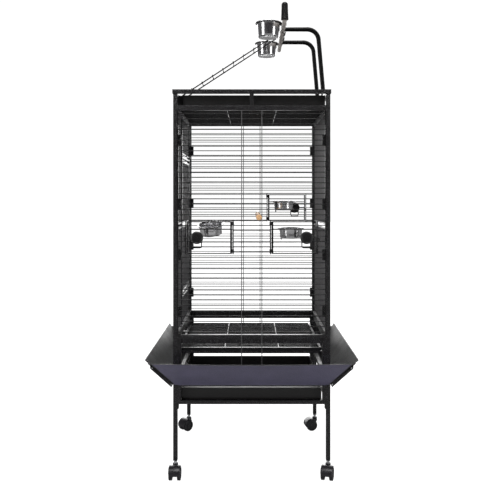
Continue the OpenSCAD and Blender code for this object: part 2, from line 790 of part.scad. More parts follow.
module feeder_bowl_at(bowl_x, bowl_z, bend = 0, roll = 0) {
    at_holder(bowl_x, bowl_z, bend, roll)
        translate([bowl_x, -half_d + feeder_bowl_in, bowl_z - bowl_h]) bowl_shape(bowl_r, bowl_rim_r, bowl_h);
}

module feeder_latch_at(z, knob = knob_x) {
    translate([knob, -half_d - 2.5, z + feeder_h / 2]) latch_shape();
}

module feeder_door_right() { color(black) feeder_door_shape(feeder_z, right_bowl_x, feeder_bowl_z); }
module feeder_door_left() {
    color(black) to_right() feeder_door_shape(feeder_z, left_bowl_x, feeder_bowl_z, bend = left_bend, roll = left_roll);
}
module feeder_door_back() {
    color(black) to_back() feeder_door_shape(far_feeder_z, far_bowl_x, far_bowl_z, far_knob_x);
}
module feeder_latch_right() { color(black) feeder_latch_at(feeder_z); }
module feeder_latch_left() { color(black) to_right() feeder_latch_at(feeder_z); }
module feeder_latch_back() { color(black) to_back() feeder_latch_at(far_feeder_z, far_knob_x); }
module feeder_bowl_right() { color(steel) feeder_bowl_at(right_bowl_x, feeder_bowl_z); }
module feeder_bowl_left() {
    color(steel) to_right() feeder_bowl_at(left_bowl_x, feeder_bowl_z, left_bend, left_roll);
}
module feeder_bowl_back() { color(steel) to_back() feeder_bowl_at(far_bowl_x, far_bowl_z); }

// Wooden perch from the front wall to the back wall, with an end bolt and washer at each wall
module inner_perch() {
    y_end = wire_y - wire_d / 2 - 0.3;
    color("#b5803f") {
        rod_y(dowel_x, -y_end, y_end, dowel_z, dowel_r);
        for (s = [0, 1])
            mirror([0, s, 0]) {
                rod_y(dowel_x, -half_d - 8, -y_end + 4, dowel_z, 2.5);
                rod_y(dowel_x, -half_d - 3, -half_d - 0.5, dowel_z, 7);
            }
    }
}

// ---------- playtop ----------

module arm_shape() {
    foot = [half_w - tube_w / 2, side_top_z + 0.75];
    rise = perch_z - foot.y;
    corner_x = foot.x - rise * tan(arm_lean);
    turn = 90 - arm_lean;
    tangent = arm_bend_r * tan(turn / 2);
    low_end = [corner_x + tangent * sin(arm_lean), perch_z - tangent * cos(arm_lean)];
    top_end = corner_x - tangent;
    along = [-sin(arm_lean), cos(arm_lean)];
    rod_xz(foot, low_end, 0, arm_r);
    translate([top_end, 0, perch_z - arm_bend_r])
        rotate([90, 0, 0])
            rotate([0, 0, arm_lean + weld_deg])
                rotate_extrude(angle = turn - 2 * weld_deg, $fn = 96) translate([arm_bend_r, 0]) circle(r = arm_r);
    difference() {
        rod_x(perch_x, top_end, 0, perch_z, arm_r);
        rod_y(perch_x, -10, 10, perch_z, perch_r + pin_gap);
    }
    // weld beads where the straight tubes meet the bend
    rod_xz(low_end - 1.5 * along, low_end + 1.5 * along, 0, arm_r + weld_r);
    rod_x(top_end - 1.5, top_end + 1.5, 0, perch_z, arm_r + weld_r);
    translate([foot.x, 0, side_top_z]) cylinder(r = 9, h = 4);
}

module perch_arms() {
    color(black)
        for (s = [-1, 1])
            translate([0, s * arm_y, 0]) arm_shape();
}

module top_perch() {
    color("#6b5f55") rod_y(perch_x, perch_front_y, perch_back_y, perch_z, perch_r);
}

// Moulded grip that stands on the front end of the perch
module perch_grip() {
    y = perch_front_y - 2;
    color(black)
        difference() {
            translate([perch_x, y, perch_z + 1]) {
                cylinder(r = 14.4, h = 8);
                translate([0, 0, 8]) cylinder(r1 = 14.4, r2 = 12, h = 47);
                translate([0, 0, 55]) cylinder(r1 = 12, r2 = 8, h = 10);
                translate([0, 0, 65]) cylinder(r1 = 8, r2 = 4, h = 3);
            }
            rod_y(perch_x, perch_front_y, perch_front_y + 40, perch_z, perch_r + pin_gap);
        }
}

// Wire ladder from the left top rail to hooks over the perch
module ladder() {
    wire_r = 2;
    hook_r = perch_r + wire_r + 0.4;
    foot = [-half_w + 6, side_top_z + wire_r + 9];
    to_perch = [perch_x, perch_z] - foot;
    slope = atan2(to_perch.y, to_perch.x) + asin(hook_r / norm(to_perch));
    length = sqrt(pow(norm(to_perch), 2) - pow(hook_r, 2));
    along = [cos(slope), sin(slope)];
    touch = foot + length * along;
    pitch = length / (ladder_rungs + 0.6);
    color(black) {
        for (s = [-1, 1]) {
            rod_xz(foot, touch, s * ladder_half, wire_r);
            rod_z(foot.x, s * ladder_half, side_top_z + 0.6, foot.y + 0.5, wire_r + weld_r);
            translate([perch_x, s * ladder_half, perch_z])
                rotate([90, 0, 0])
                    rotate([0, 0, slope - 90])
                        rotate_extrude(angle = 178, $fn = 72) translate([hook_r, 0]) circle(r = wire_r, $fn = 24);
            rod_xz(touch - 1.5 * along, touch + 1.5 * along, s * ladder_half, wire_r + weld_r);
        }
        for (i = [0:ladder_rungs]) {
            p = foot + i * pitch * along;
            rod_y(p.x, -ladder_half - 3, ladder_half + 3, p.y + (i == 0 ? 0 : wire_r + 1.2), i == 0 ? 2.3 : 1.8);
        }
    }
}

// Rings that hang the two top bowls on the perch, each with a saddle over it
module bowl_rings() {
    ring_z = top_bowl_z - ring_drop;
    ring_r = top_bowl_r + ring_wire_r + 0.3;
    saddle = perch_r + 2;
    color(black)
        for (s = [-1, 1])
            translate([0, s * top_bowl_y, 0])
                difference() {
                    union() {
                        translate([top_bowl_x, 0, ring_z]) ring(ring_r, ring_wire_r);
                        block([top_bowl_x + ring_r - 1, -9, ring_z - 4], [perch_x, 9, ring_z + 2]);
                        block([top_bowl_x + top_bowl_rim_r + 0.5, -9, perch_z + 1], [perch_x + saddle, 9, perch_z + saddle]);
                    }
                    rod_y(perch_x, -10, 10, perch_z, perch_r + pin_gap);
                    translate([top_bowl_x, 0, perch_z - 40]) cylinder(r = top_bowl_r + 0.3, h = 80);
                }
}

module top_bowl_at(side) {
    translate([top_bowl_x, side * top_bowl_y, top_bowl_z - top_bowl_h])
        bowl_shape(top_bowl_r, top_bowl_rim_r, top_bowl_h);
}

module top_bowl_front() { color(steel) top_bowl_at(-1); }
module top_bowl_back() { color(steel) top_bowl_at(1); }

// ---------- nodes ----------

leg_front_left();
leg_front_right();
leg_back_left();
leg_back_right();
caster_sockets();
base_front_rails();
base_back_rails();
base_side_rails();
grate();
tray();
skirt_front();
skirt_back();
skirt_left();
skirt_right();
skirt_straps();
post_front_left();
post_front_right();
post_back_left();
post_back_right();
ceiling_rails();
ceiling_grille();
top_rails();
roof_tray();
panel_clips();
front_grille();
front_grille_middle();
back_grille();
back_grille_middle();
tie_wires();
left_grille_front();
left_grille_ends();
door_jambs();
right_grille();
main_door();
main_latch();
feeder_door_left();
feeder_door_right();
feeder_door_back();
feeder_latch_left();
feeder_latch_right();
feeder_latch_back();
feeder_bowl_left();
feeder_bowl_right();
feeder_bowl_back();
inner_perch();
perch_arms();
top_perch();
perch_grip();
ladder();
bowl_rings();
top_bowl_front();
top_bowl_back();
caster_hood_fl();
caster_hood_fr();
caster_hood_bl();
caster_hood_br();
caster_wheels_fl();
caster_wheels_fr();
caster_wheels_bl();
caster_wheels_br();
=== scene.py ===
"""Looks of the playtop bird cage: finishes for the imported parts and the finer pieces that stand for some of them."""

from __future__ import annotations

import itertools
import json
import logging
import math
from dataclasses import dataclass
from enum import Enum
from typing import Iterable, Sequence

import bmesh
import bpy
from mathutils import Matrix, Vector

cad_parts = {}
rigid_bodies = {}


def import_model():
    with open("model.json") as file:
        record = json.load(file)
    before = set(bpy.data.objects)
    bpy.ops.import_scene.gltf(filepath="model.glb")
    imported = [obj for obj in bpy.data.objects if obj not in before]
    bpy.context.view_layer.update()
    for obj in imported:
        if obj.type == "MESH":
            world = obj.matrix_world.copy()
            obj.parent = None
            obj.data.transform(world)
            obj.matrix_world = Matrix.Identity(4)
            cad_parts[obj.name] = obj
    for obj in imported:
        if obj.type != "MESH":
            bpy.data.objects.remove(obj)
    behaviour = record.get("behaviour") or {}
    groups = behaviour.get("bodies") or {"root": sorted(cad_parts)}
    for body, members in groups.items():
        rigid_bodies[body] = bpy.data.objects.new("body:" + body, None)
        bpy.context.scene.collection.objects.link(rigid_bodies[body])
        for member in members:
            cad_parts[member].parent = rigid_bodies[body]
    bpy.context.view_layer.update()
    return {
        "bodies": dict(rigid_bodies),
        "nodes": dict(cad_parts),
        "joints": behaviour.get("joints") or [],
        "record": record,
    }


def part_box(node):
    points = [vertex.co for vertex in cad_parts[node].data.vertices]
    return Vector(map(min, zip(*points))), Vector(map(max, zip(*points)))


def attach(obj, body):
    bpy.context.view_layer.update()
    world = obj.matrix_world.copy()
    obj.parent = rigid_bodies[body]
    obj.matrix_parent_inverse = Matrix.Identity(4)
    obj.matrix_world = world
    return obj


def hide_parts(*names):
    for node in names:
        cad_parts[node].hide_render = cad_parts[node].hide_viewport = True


LOG = logging.getLogger("bird_cage")
MM = 0.001
SUNK = 0.4 * MM  # how deep a screw head or nut is set into what it holds
LIT_SPOT = (0.0, 0.0, 0.95)  # where every soft box is aimed
DOUBLE = 1e-6  # corners of a mesh that are nearer than this are one corner
END_RINGS = ((0.8, 0.6), (0.35, 0.94))  # size and set-back of the rings that round a tube's end, in radii
Colour = tuple[float, float, float]
Point = tuple[float, float, float]


# ---------------------------------------------------------------- shader tools


class Sum:
    """A number socket of a shader tree that takes part in Python sums."""

    def __init__(self, shader: "Shader", socket: bpy.types.NodeSocket) -> None:
        """Keep the tree and the socket.

        Args:
            shader: The shader that the socket belongs to.
            socket: The output socket that holds the number.
        """
        self.shader = shader
        self.socket = socket

    def _math(self, operation: str, *terms: "Sum | float") -> "Sum":
        """Add a Math node that works on the terms in order.

        Args:
            operation: The Math node's operation.
            terms: Sockets or plain numbers.

        Returns:
            The result as a Sum.
        """
        made = self.shader.node("ShaderNodeMath", {"operation": operation}, dict(enumerate(terms)))
        return Sum(self.shader, made.outputs[0])

    def __add__(self, other: "Sum | float") -> "Sum":
        """Return self + other."""
        return self._math("ADD", self, other)

    __radd__ = __add__

    def __sub__(self, other: "Sum | float") -> "Sum":
        """Return self - other."""
        return self._math("SUBTRACT", self, other)

    def __rsub__(self, other: float) -> "Sum":
        """Return other - self."""
        return self._math("SUBTRACT", other, self)

    def __mul__(self, other: "Sum | float") -> "Sum":
        """Return self * other."""
        return self._math("MULTIPLY", self, other)

    __rmul__ = __mul__

    def fraction(self) -> "Sum":
        """Return what stands after the decimal point of self."""
        return self._math("FRACT", self)

    def clamp(self, low: float, high: float) -> "Sum":
        """Return self spread from low..high to 0..1, held inside that range.

        Args:
            low: The value that gives 0.
            high: The value that gives 1.

        Returns:
            The spread value as a Sum.
        """
        made = self.shader.node("ShaderNodeMapRange", {"clamp": True}, {0: self, 1: low, 2: high, 3: 0.0, 4: 1.0})
        return Sum(self.shader, made.outputs[0])


class Shader:
    """One material and its node tree, with Object coordinates at hand."""

    def __init__(self, name: str) -> None:
        """Make the material with a bare Principled shader.

        Args:
            name: The material's name.
        """
        self.material = bpy.data.materials.new(name)
        self.material.use_nodes = True
        self.tree = self.material.node_tree
        self.surface = self.tree.nodes["Principled BSDF"]
        self.place = self.node("ShaderNodeTexCoord").outputs["Object"]

    def node(self, kind: str, settings: dict | None = None, inputs: dict | None = None) -> bpy.types.Node:
        """Add any node.

        Args:
            kind: The node's type name.
            settings: Properties set before the sockets, or ramp stops under the key "stops".
            inputs: Socket name or number to a value, a socket or a Sum.

        Returns:
            The new node.
        """
        made = self.tree.nodes.new(kind)
        for key, value in (settings or {}).items():
            if key == "stops":
                self.set_stops(made.color_ramp, value)
            else:
                setattr(made, key, value)
        for key, value in (inputs or {}).items():
            self.feed(made.inputs[key], value)
        return made

    @staticmethod
    def set_stops(ramp: bpy.types.ColorRamp, stops: Sequence[tuple[float, Colour]]) -> None:
        """Give a ramp its stops.

        Args:
            ramp: The ramp, with its two first stops.
            stops: Places and colours from low to high.
        """
        while len(ramp.elements) < len(stops):
            ramp.elements.new(0.5)
        for element, (where, colour) in zip(ramp.elements, stops):
            element.position = where
            element.color = (*colour, 1.0)

    def feed(self, socket: bpy.types.NodeSocket, value: object) -> None:
        """Link or set one input socket.

        Args:
            socket: The input socket.
            value: A Sum, an output socket, or a plain value.
        """
        if isinstance(value, Sum):
            value = value.socket
        if isinstance(value, bpy.types.NodeSocket):
            self.tree.links.new(value, socket)
        elif socket.type == "RGBA" and len(value) == 3:
            socket.default_value = (*value, 1.0)
        else:
            socket.default_value = value

    def set(self, **values: object) -> None:
        """Set or link the Principled shader's sockets, named with _ for a space."""
        for key, value in values.items():
            self.feed(self.surface.inputs[key.replace("_", " ")], value)

    def scaled(self, scale: Point, turn: Point = (0.0, 0.0, 0.0)) -> bpy.types.NodeSocket:
        """Return Object coordinates turned and scaled.

        Args:
            scale: The factor along each axis.
            turn: Rotation in radians.

        Returns:
            The vector socket.
        """
        made = self.node("ShaderNodeMapping", None, {"Vector": self.place, "Rotation": turn, "Scale": scale})
        return made.outputs[0]

    def noise(self, size: float, detail: float = 2.0, at: bpy.types.NodeSocket | None = None) -> Sum:
        """Return a noise value about 0.5.

        Args:
            size: Size of the blobs, in metres, or in the units of at.
            detail: Layers of finer noise.
            at: Vector socket, or None for Object coordinates.

        Returns:
            The noise as a Sum.
        """
        inputs = {"Vector": at or self.place, "Scale": 1.0 / size, "Detail": detail, "Roughness": 0.55}
        return Sum(self, self.node("ShaderNodeTexNoise", None, inputs).outputs[0])

    def cells(self, size: float, feature: str, at: bpy.types.NodeSocket | None = None) -> Sum:
        """Return a cell pattern's distance.

        Args:
            size: Size of a cell, in metres.
            feature: "F1" or "DISTANCE_TO_EDGE".
            at: Vector socket, or None for Object coordinates.

        Returns:
            The distance as a Sum.
        """
        inputs = {"Vector": at or self.place, "Scale": 1.0 / size}
        return Sum(self, self.node("ShaderNodeTexVoronoi", {"feature": feature}, inputs).outputs[0])

    def mix(self, share: Sum, first: object, second: object) -> bpy.types.NodeSocket:
        """Return a colour between two.

        Args:
            share: 0 for the first colour, 1 for the second.
            first: A colour or a colour socket.
            second: A colour or a colour socket.

        Returns:
            The mixed colour socket.
        """
        made = self.node("ShaderNodeMix", {"data_type": "RGBA"})
        self.feed(made.inputs[0], share)
        self.feed(made.inputs[6], first)
        self.feed(made.inputs[7], second)
        return made.outputs[2]

    def relief(self, height: Sum, depth: float, strength: float = 1.0) -> None:
        """Feed a bump to the surface.

        Args:
            height: The height pattern, 0 to 1.
            depth: How deep a height of 1 is, in metres.
            strength: The bump's strength.
        """
        made = self.node("ShaderNodeBump", None, {"Height": height, "Distance": depth, "Strength": strength})
        self.set(Normal=made.outputs[0])


# ---------------------------------------------------------------- finishes


@dataclass(frozen=True)
class PowderCoat:
    """Veined powder coat: dark base, paler grains, broad tone drift and a fine orange-peel relief."""

    name: str
    dark: Colour
    grain: Colour
    roughness: float
    cell: float = 0.0022
    depth: float = 0.00018
    grain_share: float = 0.5
    gloss: float = 0.45
    warp: float = 260.0

    def build(self) -> bpy.types.Material:
        """Return the finished material."""
        shader = Shader(self.name)
        bent = shader.node(
            "ShaderNodeVectorMath",
            {"operation": "MULTIPLY_ADD"},
            {0: shader.node("ShaderNodeTexNoise", None, {"Vector": shader.place, "Scale": self.warp}).outputs[1],
             1: (self.cell * 0.9,) * 3, 2: shader.place},
        ).outputs[0]
        edge = shader.cells(self.cell, "DISTANCE_TO_EDGE", bent)
        vein = edge.clamp(0.02, 0.28)
        fleck = shader.noise(self.cell * 0.55, 1.0).clamp(0.56, 0.72)
        broad = shader.noise(0.06, 3.0).clamp(0.3, 0.75)
        pale = shader.mix(fleck * self.grain_share, self.dark, self.grain)
        tone = shader.mix((1.0 - vein) * 0.45, pale, tuple(c * 0.45 for c in self.dark))
        shader.set(
            Base_Color=shader.mix(broad * 0.35, tone, tuple(c * 1.5 for c in self.dark)),
            Roughness=self.roughness + broad * 0.09 - fleck * 0.1,
            Specular_IOR_Level=self.gloss,
        )
        shader.relief(vein * 0.7 + fleck * 0.3, self.depth, 0.7)
        return shader.material


@dataclass(frozen=True)
class Stainless:
    """Spun stainless steel with fine rings round its own axis and small handling marks."""

    name: str
    colour: Colour = (0.72, 0.72, 0.73)
    roughness: float = 0.16

    def build(self) -> bpy.types.Material:
        """Return the finished material."""
        shader = Shader(self.name)
        rings = shader.noise(1.0, 2.0, shader.scaled((8.0, 8.0, 2600.0)))
        marks = shader.noise(0.008, 4.0, shader.scaled((1.0, 1.0, 0.35))).clamp(0.52, 0.75)
        smear = shader.noise(0.03, 2.0).clamp(0.35, 0.7)
        shader.set(
            Metallic=1.0,
            Base_Color=shader.mix(smear * 0.4, self.colour, tuple(c * 0.82 for c in self.colour)),
            Roughness=self.roughness + rings * 0.07 + marks * 0.06,
        )
        shader.relief(rings, 0.00002, 0.35)
        return shader.material


@dataclass(frozen=True)
class Zinc:
    """Bright zinc plate of screws and collars, slightly cloudy."""

    name: str
    colour: Colour = (0.66, 0.67, 0.68)
    roughness: float = 0.3

    def build(self) -> bpy.types.Material:
        """Return the finished material."""
        shader = Shader(self.name)
        cloud = shader.noise(0.004, 3.0).clamp(0.35, 0.7)
        shader.set(
            Metallic=1.0,
            Base_Color=shader.mix(cloud, self.colour, tuple(c * 0.72 for c in self.colour)),
            Roughness=self.roughness + cloud * 0.15,
        )
        shader.relief(cloud, 0.00004, 0.4)
        return shader.material


@dataclass(frozen=True)
class Moulding:
    """Moulded plastic with a fine spark-eroded texture and slight tone drift."""

    name: str
    colour: Colour
    roughness: float
    texture: float = 0.0006
    depth: float = 0.00005
    gloss: float = 0.5

    def build(self) -> bpy.types.Material:
        """Return the finished material."""
        shader = Shader(self.name)
        erosion = shader.noise(self.texture, 2.0)
        drift = shader.noise(0.02, 2.0).clamp(0.35, 0.7)
        scuff = shader.noise(1.0, 3.0, shader.scaled((90.0, 420.0, 150.0))).clamp(0.62, 0.78)
        pale = tuple(min(1.0, c * 1.9 + 0.008) for c in self.colour)
        shader.set(
            Base_Color=shader.mix(drift * 0.4 + scuff * 0.25, self.colour, pale),
            Roughness=self.roughness + erosion * 0.12 + scuff * 0.1,
            Specular_IOR_Level=self.gloss,
        )
        shader.relief(erosion, self.depth, 0.6)
        return shader.material


@dataclass(frozen=True)
class Dowel:
    """Turned wood with grain along one axis, pores and end-grain tone."""

    name: str
    light: Colour
    dark: Colour
    stretch: Point
    roughness: float = 0.55
    lines: float = 9.0

    def build(self) -> bpy.types.Material:
        """Return the finished material."""
        shader = Shader(self.name)
        along = shader.scaled(self.stretch)
        figure = shader.noise(1.0, 5.0, along)
        line = (figure * self.lines).fraction()
        pores = shader.noise(0.22, 2.0, along).clamp(0.58, 0.7)
        stain = shader.noise(0.05, 3.0).clamp(0.3, 0.75)
        tone = shader.mix(line * 0.55 + stain * 0.3, self.light, self.dark)
        shader.set(
            Base_Color=shader.mix(pores * 0.7, tone, tuple(c * 0.45 for c in self.dark)),
            Roughness=self.roughness + line * 0.12 + pores * 0.15,
            Specular_IOR_Level=0.35,
        )
        shader.relief(line * 0.4 + (1.0 - pores) * 0.6, 0.00022, 0.7)
        return shader.material


class Finish(Enum):
    """The finishes of the cage, each with its recipe."""

    FRAME = PowderCoat("frame_coat", (0.0045, 0.004, 0.0045), (0.22, 0.215, 0.23), 0.34, 0.0042, 0.0004, 0.8)
    WIRE = PowderCoat("wire_coat", (0.0035, 0.0032, 0.0035), (0.03, 0.029, 0.031), 0.26, 0.0012, 0.00008, 0.3)
    # paler copy of the black wire coat: painted sheen that the round wires catch from the white room
    MESH = PowderCoat("mesh_coat_painted_sheen", (0.040, 0.039, 0.041), (0.22, 0.215, 0.225), 0.34, 0.0030, 0.00010, 0.6, 0.9)
    # much paler copy of the black wire coat: painted highlight on the tie wires and painted light on the right grille
    PAINTED_LIGHT_WIRE = PowderCoat("wire_coat_painted_light", (0.10, 0.098, 0.10), (0.22, 0.215, 0.225), 0.34, 0.0012, 0.00008, 0.3)
    # paler, bluish copy of the black skirt coat: painted sheen on the front panel
    SKIRT_PAINTED_SHEEN = PowderCoat("skirt_slate", (0.132, 0.124, 0.196), (0.23, 0.22, 0.32), 0.42, 0.0030, 0.00020, 0.35)
    ARM = PowderCoat("arm_coat", (0.0015, 0.0014, 0.0015), (0.010, 0.010, 0.011), 0.36, 0.0012, 0.00005, 0.3, 0.18)
    SHEET = PowderCoat("skirt_black", (0.008, 0.0075, 0.008), (0.05, 0.05, 0.053), 0.46, 0.0016, 0.00010, 0.35, 0.05)
    TRAY = PowderCoat("tray_coat", (0.011, 0.0105, 0.0105), (0.07, 0.068, 0.07), 0.36, 0.0016, 0.00010, 0.35)
    STEEL = Stainless("stainless")
    ZINC = Zinc("zinc_plate")
    # paler copy of the black skirt coat: painted highlight along the rolled hems
    HEM_PAINTED_HIGHLIGHT = PowderCoat("hem_coat_painted_highlight", (0.03, 0.029, 0.034), (0.16, 0.16, 0.17), 0.30, 0.0014, 0.00006, 0.4, 0.8)
    KNOB = Moulding("knob_plastic", (0.004, 0.004, 0.0045), 0.26)
    CASTER = Moulding("caster_plastic", (0.014, 0.013, 0.016), 0.30)
    WHEEL = Moulding("wheel_plastic", (0.016, 0.016, 0.019), 0.42, 0.0009)
    GRIP = Moulding("grip_plastic", (0.002, 0.0019, 0.002), 0.34, 0.0008, 0.00005, 0.22)
    PERCH = Dowel("perch_wood", (0.74, 0.70, 0.66), (0.34, 0.30, 0.27), (160.0, 12.0, 160.0))
    TAN = Dowel("dowel_wood", (0.95, 0.60, 0.32), (0.62, 0.33, 0.14), (140.0, 6.0, 140.0))


class Palette:
    """Builds each finish once and hands it out."""

    def __init__(self) -> None:
        """Start with no material made."""
        self._made: dict[Finish, bpy.types.Material] = {}

    def get(self, finish: Finish) -> bpy.types.Material:
        """Return the finish's material, made on first use.

        Args:
            finish: The wanted finish.

        Returns:
            The material.
        """
        if finish not in self._made:
            self._made[finish] = finish.value.build()
        return self._made[finish]


# ---------------------------------------------------------------- mesh tools


class Bench:
    """Where pieces are made and put on their bodies."""

    def __init__(self, frame: dict, palette: Palette) -> None:
        """Keep the frame and the palette.

        Args:
            palette: The finishes.
        """
        self.frame = frame
        self.palette = palette
        self.body_of = {n: b for b, ns in frame["record"]["behaviour"]["bodies"].items() for n in ns}
        self.slot_of = {s["node"]: s["material_slot"] for s in frame["record"]["subparts"]}

    def joint(self, name: str) -> dict:
        """Return a joint of the record by name."""
        return next(j for j in self.frame["record"]["behaviour"]["joints"] if j["name"] == name)

    def piece(self, name: str, mesh: bmesh.types.BMesh, finish: Finish, smooth: float = 35.0) -> bpy.types.Object:
        """Turn a bmesh into an object with a finish.

        Args:
            name: The piece's name.
            mesh: The shape, in metres, in the row frame. It is freed.
            finish: The finish.
            smooth: Edges flatter than this angle, in degrees, look smooth.

        Returns:
            The new object.
        """
        bmesh.ops.recalc_face_normals(mesh, faces=mesh.faces)
        limit = math.radians(smooth)
        for face in mesh.faces:
            face.smooth = True
        for edge in mesh.edges:
            edge.smooth = len(edge.link_faces) == 2 and edge.calc_face_angle(0.0) < limit
        data = bpy.data.meshes.new(name)
        mesh.to_mesh(data)
        mesh.free()
        data.materials.append(self.palette.get(finish))
        made = bpy.data.objects.new(name, data)
        bpy.context.scene.collection.objects.link(made)
        return made

    def fit(self, made: bpy.types.Object, body: str, slot: str, *nodes: str) -> bpy.types.Object:
        """Put a piece on its body, and let it stand for CAD nodes.

        Args:
            made: The piece.
            body: The body that it rides on.
            slot: The record's material slot; not used.
            nodes: CAD nodes that it replaces.

        Returns:
            The piece.
        """
        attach(made, body)
        if nodes:
            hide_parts(*nodes)
        LOG.info("%s: %d faces on %s", made.name, len(made.data.polygons), body)
        return made

    def dress(self, node: str, finish: Finish) -> None:
        """Give a CAD node its finish.

        Args:
            node: The node's name.
            finish: The finish.
        """
        data = self.frame["nodes"][node].data
        data.materials.clear()
        data.materials.append(self.palette.get(finish))
        LOG.info("%s: %s", node, finish.value.name)

    def _copied(self, node: str) -> bmesh.types.BMesh:
        """Return a node's mesh as a bmesh with its doubles merged."""
        work = bmesh.new()
        work.from_mesh(self.frame["nodes"][node].data)
        bmesh.ops.remove_doubles(work, verts=work.verts, dist=DOUBLE)
        return work

    def eased(self, node: str, finish: Finish, radius: float, steps: int = 2) -> bpy.types.Object:
        """Stand for a node with a copy whose sharp edges are rounded.

        Args:
            node: The node's name.
            finish: The finish.
            radius: Width of the rounding, in metres.
            steps: Segments of the rounding.

        Returns:
            The new piece.
        """
        work = self._copied(node)
        bmesh.ops.dissolve_limit(work, angle_limit=math.radians(0.5), verts=work.verts, edges=work.edges)
        sharp = [e for e in work.edges if e.is_manifold and e.calc_face_angle(0.0) > math.radians(50)]
        bmesh.ops.bevel(
            work, geom=sharp, offset=radius, offset_type="OFFSET", segments=steps, profile=0.6,
            affect="EDGES", clamp_overlap=True,
        )
        made = self.piece(node + "_eased", work, finish, 40.0)
        return self.fit(made, self.body_of[node], self.slot_of[node], node)

    def fattened(self, node: str, finish: Finish, extra: float) -> bpy.types.Object:
        """Stand for a wire node with a copy that carries the coat's thickness.

        Args:
            node: The node's name.
            finish: The finish.
            extra: Thickness of the coat, in metres.

        Returns:
            The new piece.
        """
        work = self._copied(node)
        bmesh.ops.recalc_face_normals(work, faces=work.faces)
        work.normal_update()
        for vert, way in [(vert, vert.normal.copy()) for vert in work.verts]:
            vert.co += way * extra
        made = self.piece(node + "_coated", work, finish, 40.0)
        return self.fit(made, self.body_of[node], self.slot_of[node], node)


def lathe(profile: Sequence[tuple[float, float]], steps: int = 96) -> bmesh.types.BMesh:
    """Spin a profile about Z.

    Args:
        profile: (radius, height) points in metres; ends on the axis are closed.
        steps: Steps round.

    Returns:
        The spun shape.
    """
    work = bmesh.new()
    rings: list[list[bmesh.types.BMVert]] = []
    for radius, height in profile:
        if radius < 1e-7:
            rings.append([work.verts.new((0.0, 0.0, height))])
            continue
        turn = [2 * math.pi * i / steps for i in range(steps)]
        rings.append([work.verts.new((radius * math.cos(a), radius * math.sin(a), height)) for a in turn])
    for low, high in zip(rings, rings[1:]):
        for i in range(steps):
            j = (i + 1) % steps
            corners = [low[i % len(low)], low[j % len(low)], high[j % len(high)], high[i % len(high)]]
            unique = list(dict.fromkeys(corners))
            if len(unique) > 2:
                work.faces.new(unique)
    return work


def arc(centre: tuple[float, float], radius: float, start: float, stop: float, count: int) -> list[tuple[float, float]]:
    """Return points along an arc in a plane.

    Args:
        centre: The arc's centre.
        radius: The arc's radius.
        start: First angle, in degrees.
        stop: Last angle, in degrees.
        count: Number of points.

    Returns:
        The points from first to last.
    """
    turn = [math.radians(start + (stop - start) * i / (count - 1)) for i in range(count)]
    return [(centre[0] + radius * math.cos(a), centre[1] + radius * math.sin(a)) for a in turn]


def sweep(path: Sequence[Vector], radius: float, sides: int = 12) -> bmesh.types.BMesh:
    """Sweep a round section along a path, with rounded ends.

    Args:
        path: Points in metres.
        radius: Radius of the section.
        sides: Sides of the section.

    Returns:
        The tube.
    """
    work = bmesh.new()
    last = len(path) - 1
    ahead = [path[min(i + 1, last)] - path[max(i - 1, 0)] for i in range(last + 1)]
    side = ahead[0].orthogonal().normalized()
    rings = []

    def add_ring(at: Vector, size: float) -> None:
        """Add one ring of the section."""
        up = way.cross(side)
        spots = [2 * math.pi * k / sides for k in range(sides)]
        rings.append([work.verts.new(at + size * (math.cos(a) * side + math.sin(a) * up)) for a in spots])

    for i, spot in enumerate(path):
        way = ahead[i].normalized()
        side = (side - side.dot(way) * way).normalized()
        if i == 0:
            for size, back in reversed(END_RINGS):
                add_ring(spot - way * radius * (back - 1.0), radius * size)
            add_ring(spot + way * radius, radius)
        elif i == last:
            add_ring(spot - way * radius, radius)
            for size, back in END_RINGS:
                add_ring(spot + way * radius * (back - 1.0), radius * size)
        else:
            add_ring(spot, radius)
    for low, high in zip(rings, rings[1:]):
        for k in range(sides):
            work.faces.new((low[k], low[(k + 1) % sides], high[(k + 1) % sides], high[k]))
    work.faces.new(list(reversed(rings[0])))
    work.faces.new(rings[-1])
    return work


def merged(parts: Iterable[bmesh.types.BMesh]) -> bmesh.types.BMesh:
    """Put several shapes into one bmesh, and free them.

    Args:
        parts: The shapes.

    Returns:
        One bmesh that holds them all.
    """
    whole = bmesh.new()
    for part in parts:
        scratch = bpy.data.meshes.new("scratch")
        part.to_mesh(scratch)
        part.free()
        whole.from_mesh(scratch)
        bpy.data.meshes.remove(scratch)
    return whole


def moved(work: bmesh.types.BMesh, matrix: Matrix) -> bmesh.types.BMesh:
    """Move a shape.

    Args:
        work: The shape.
        matrix: Where it goes.

    Returns:
        The same shape.
    """
    bmesh.ops.transform(work, matrix=matrix, verts=work.verts)
    return work


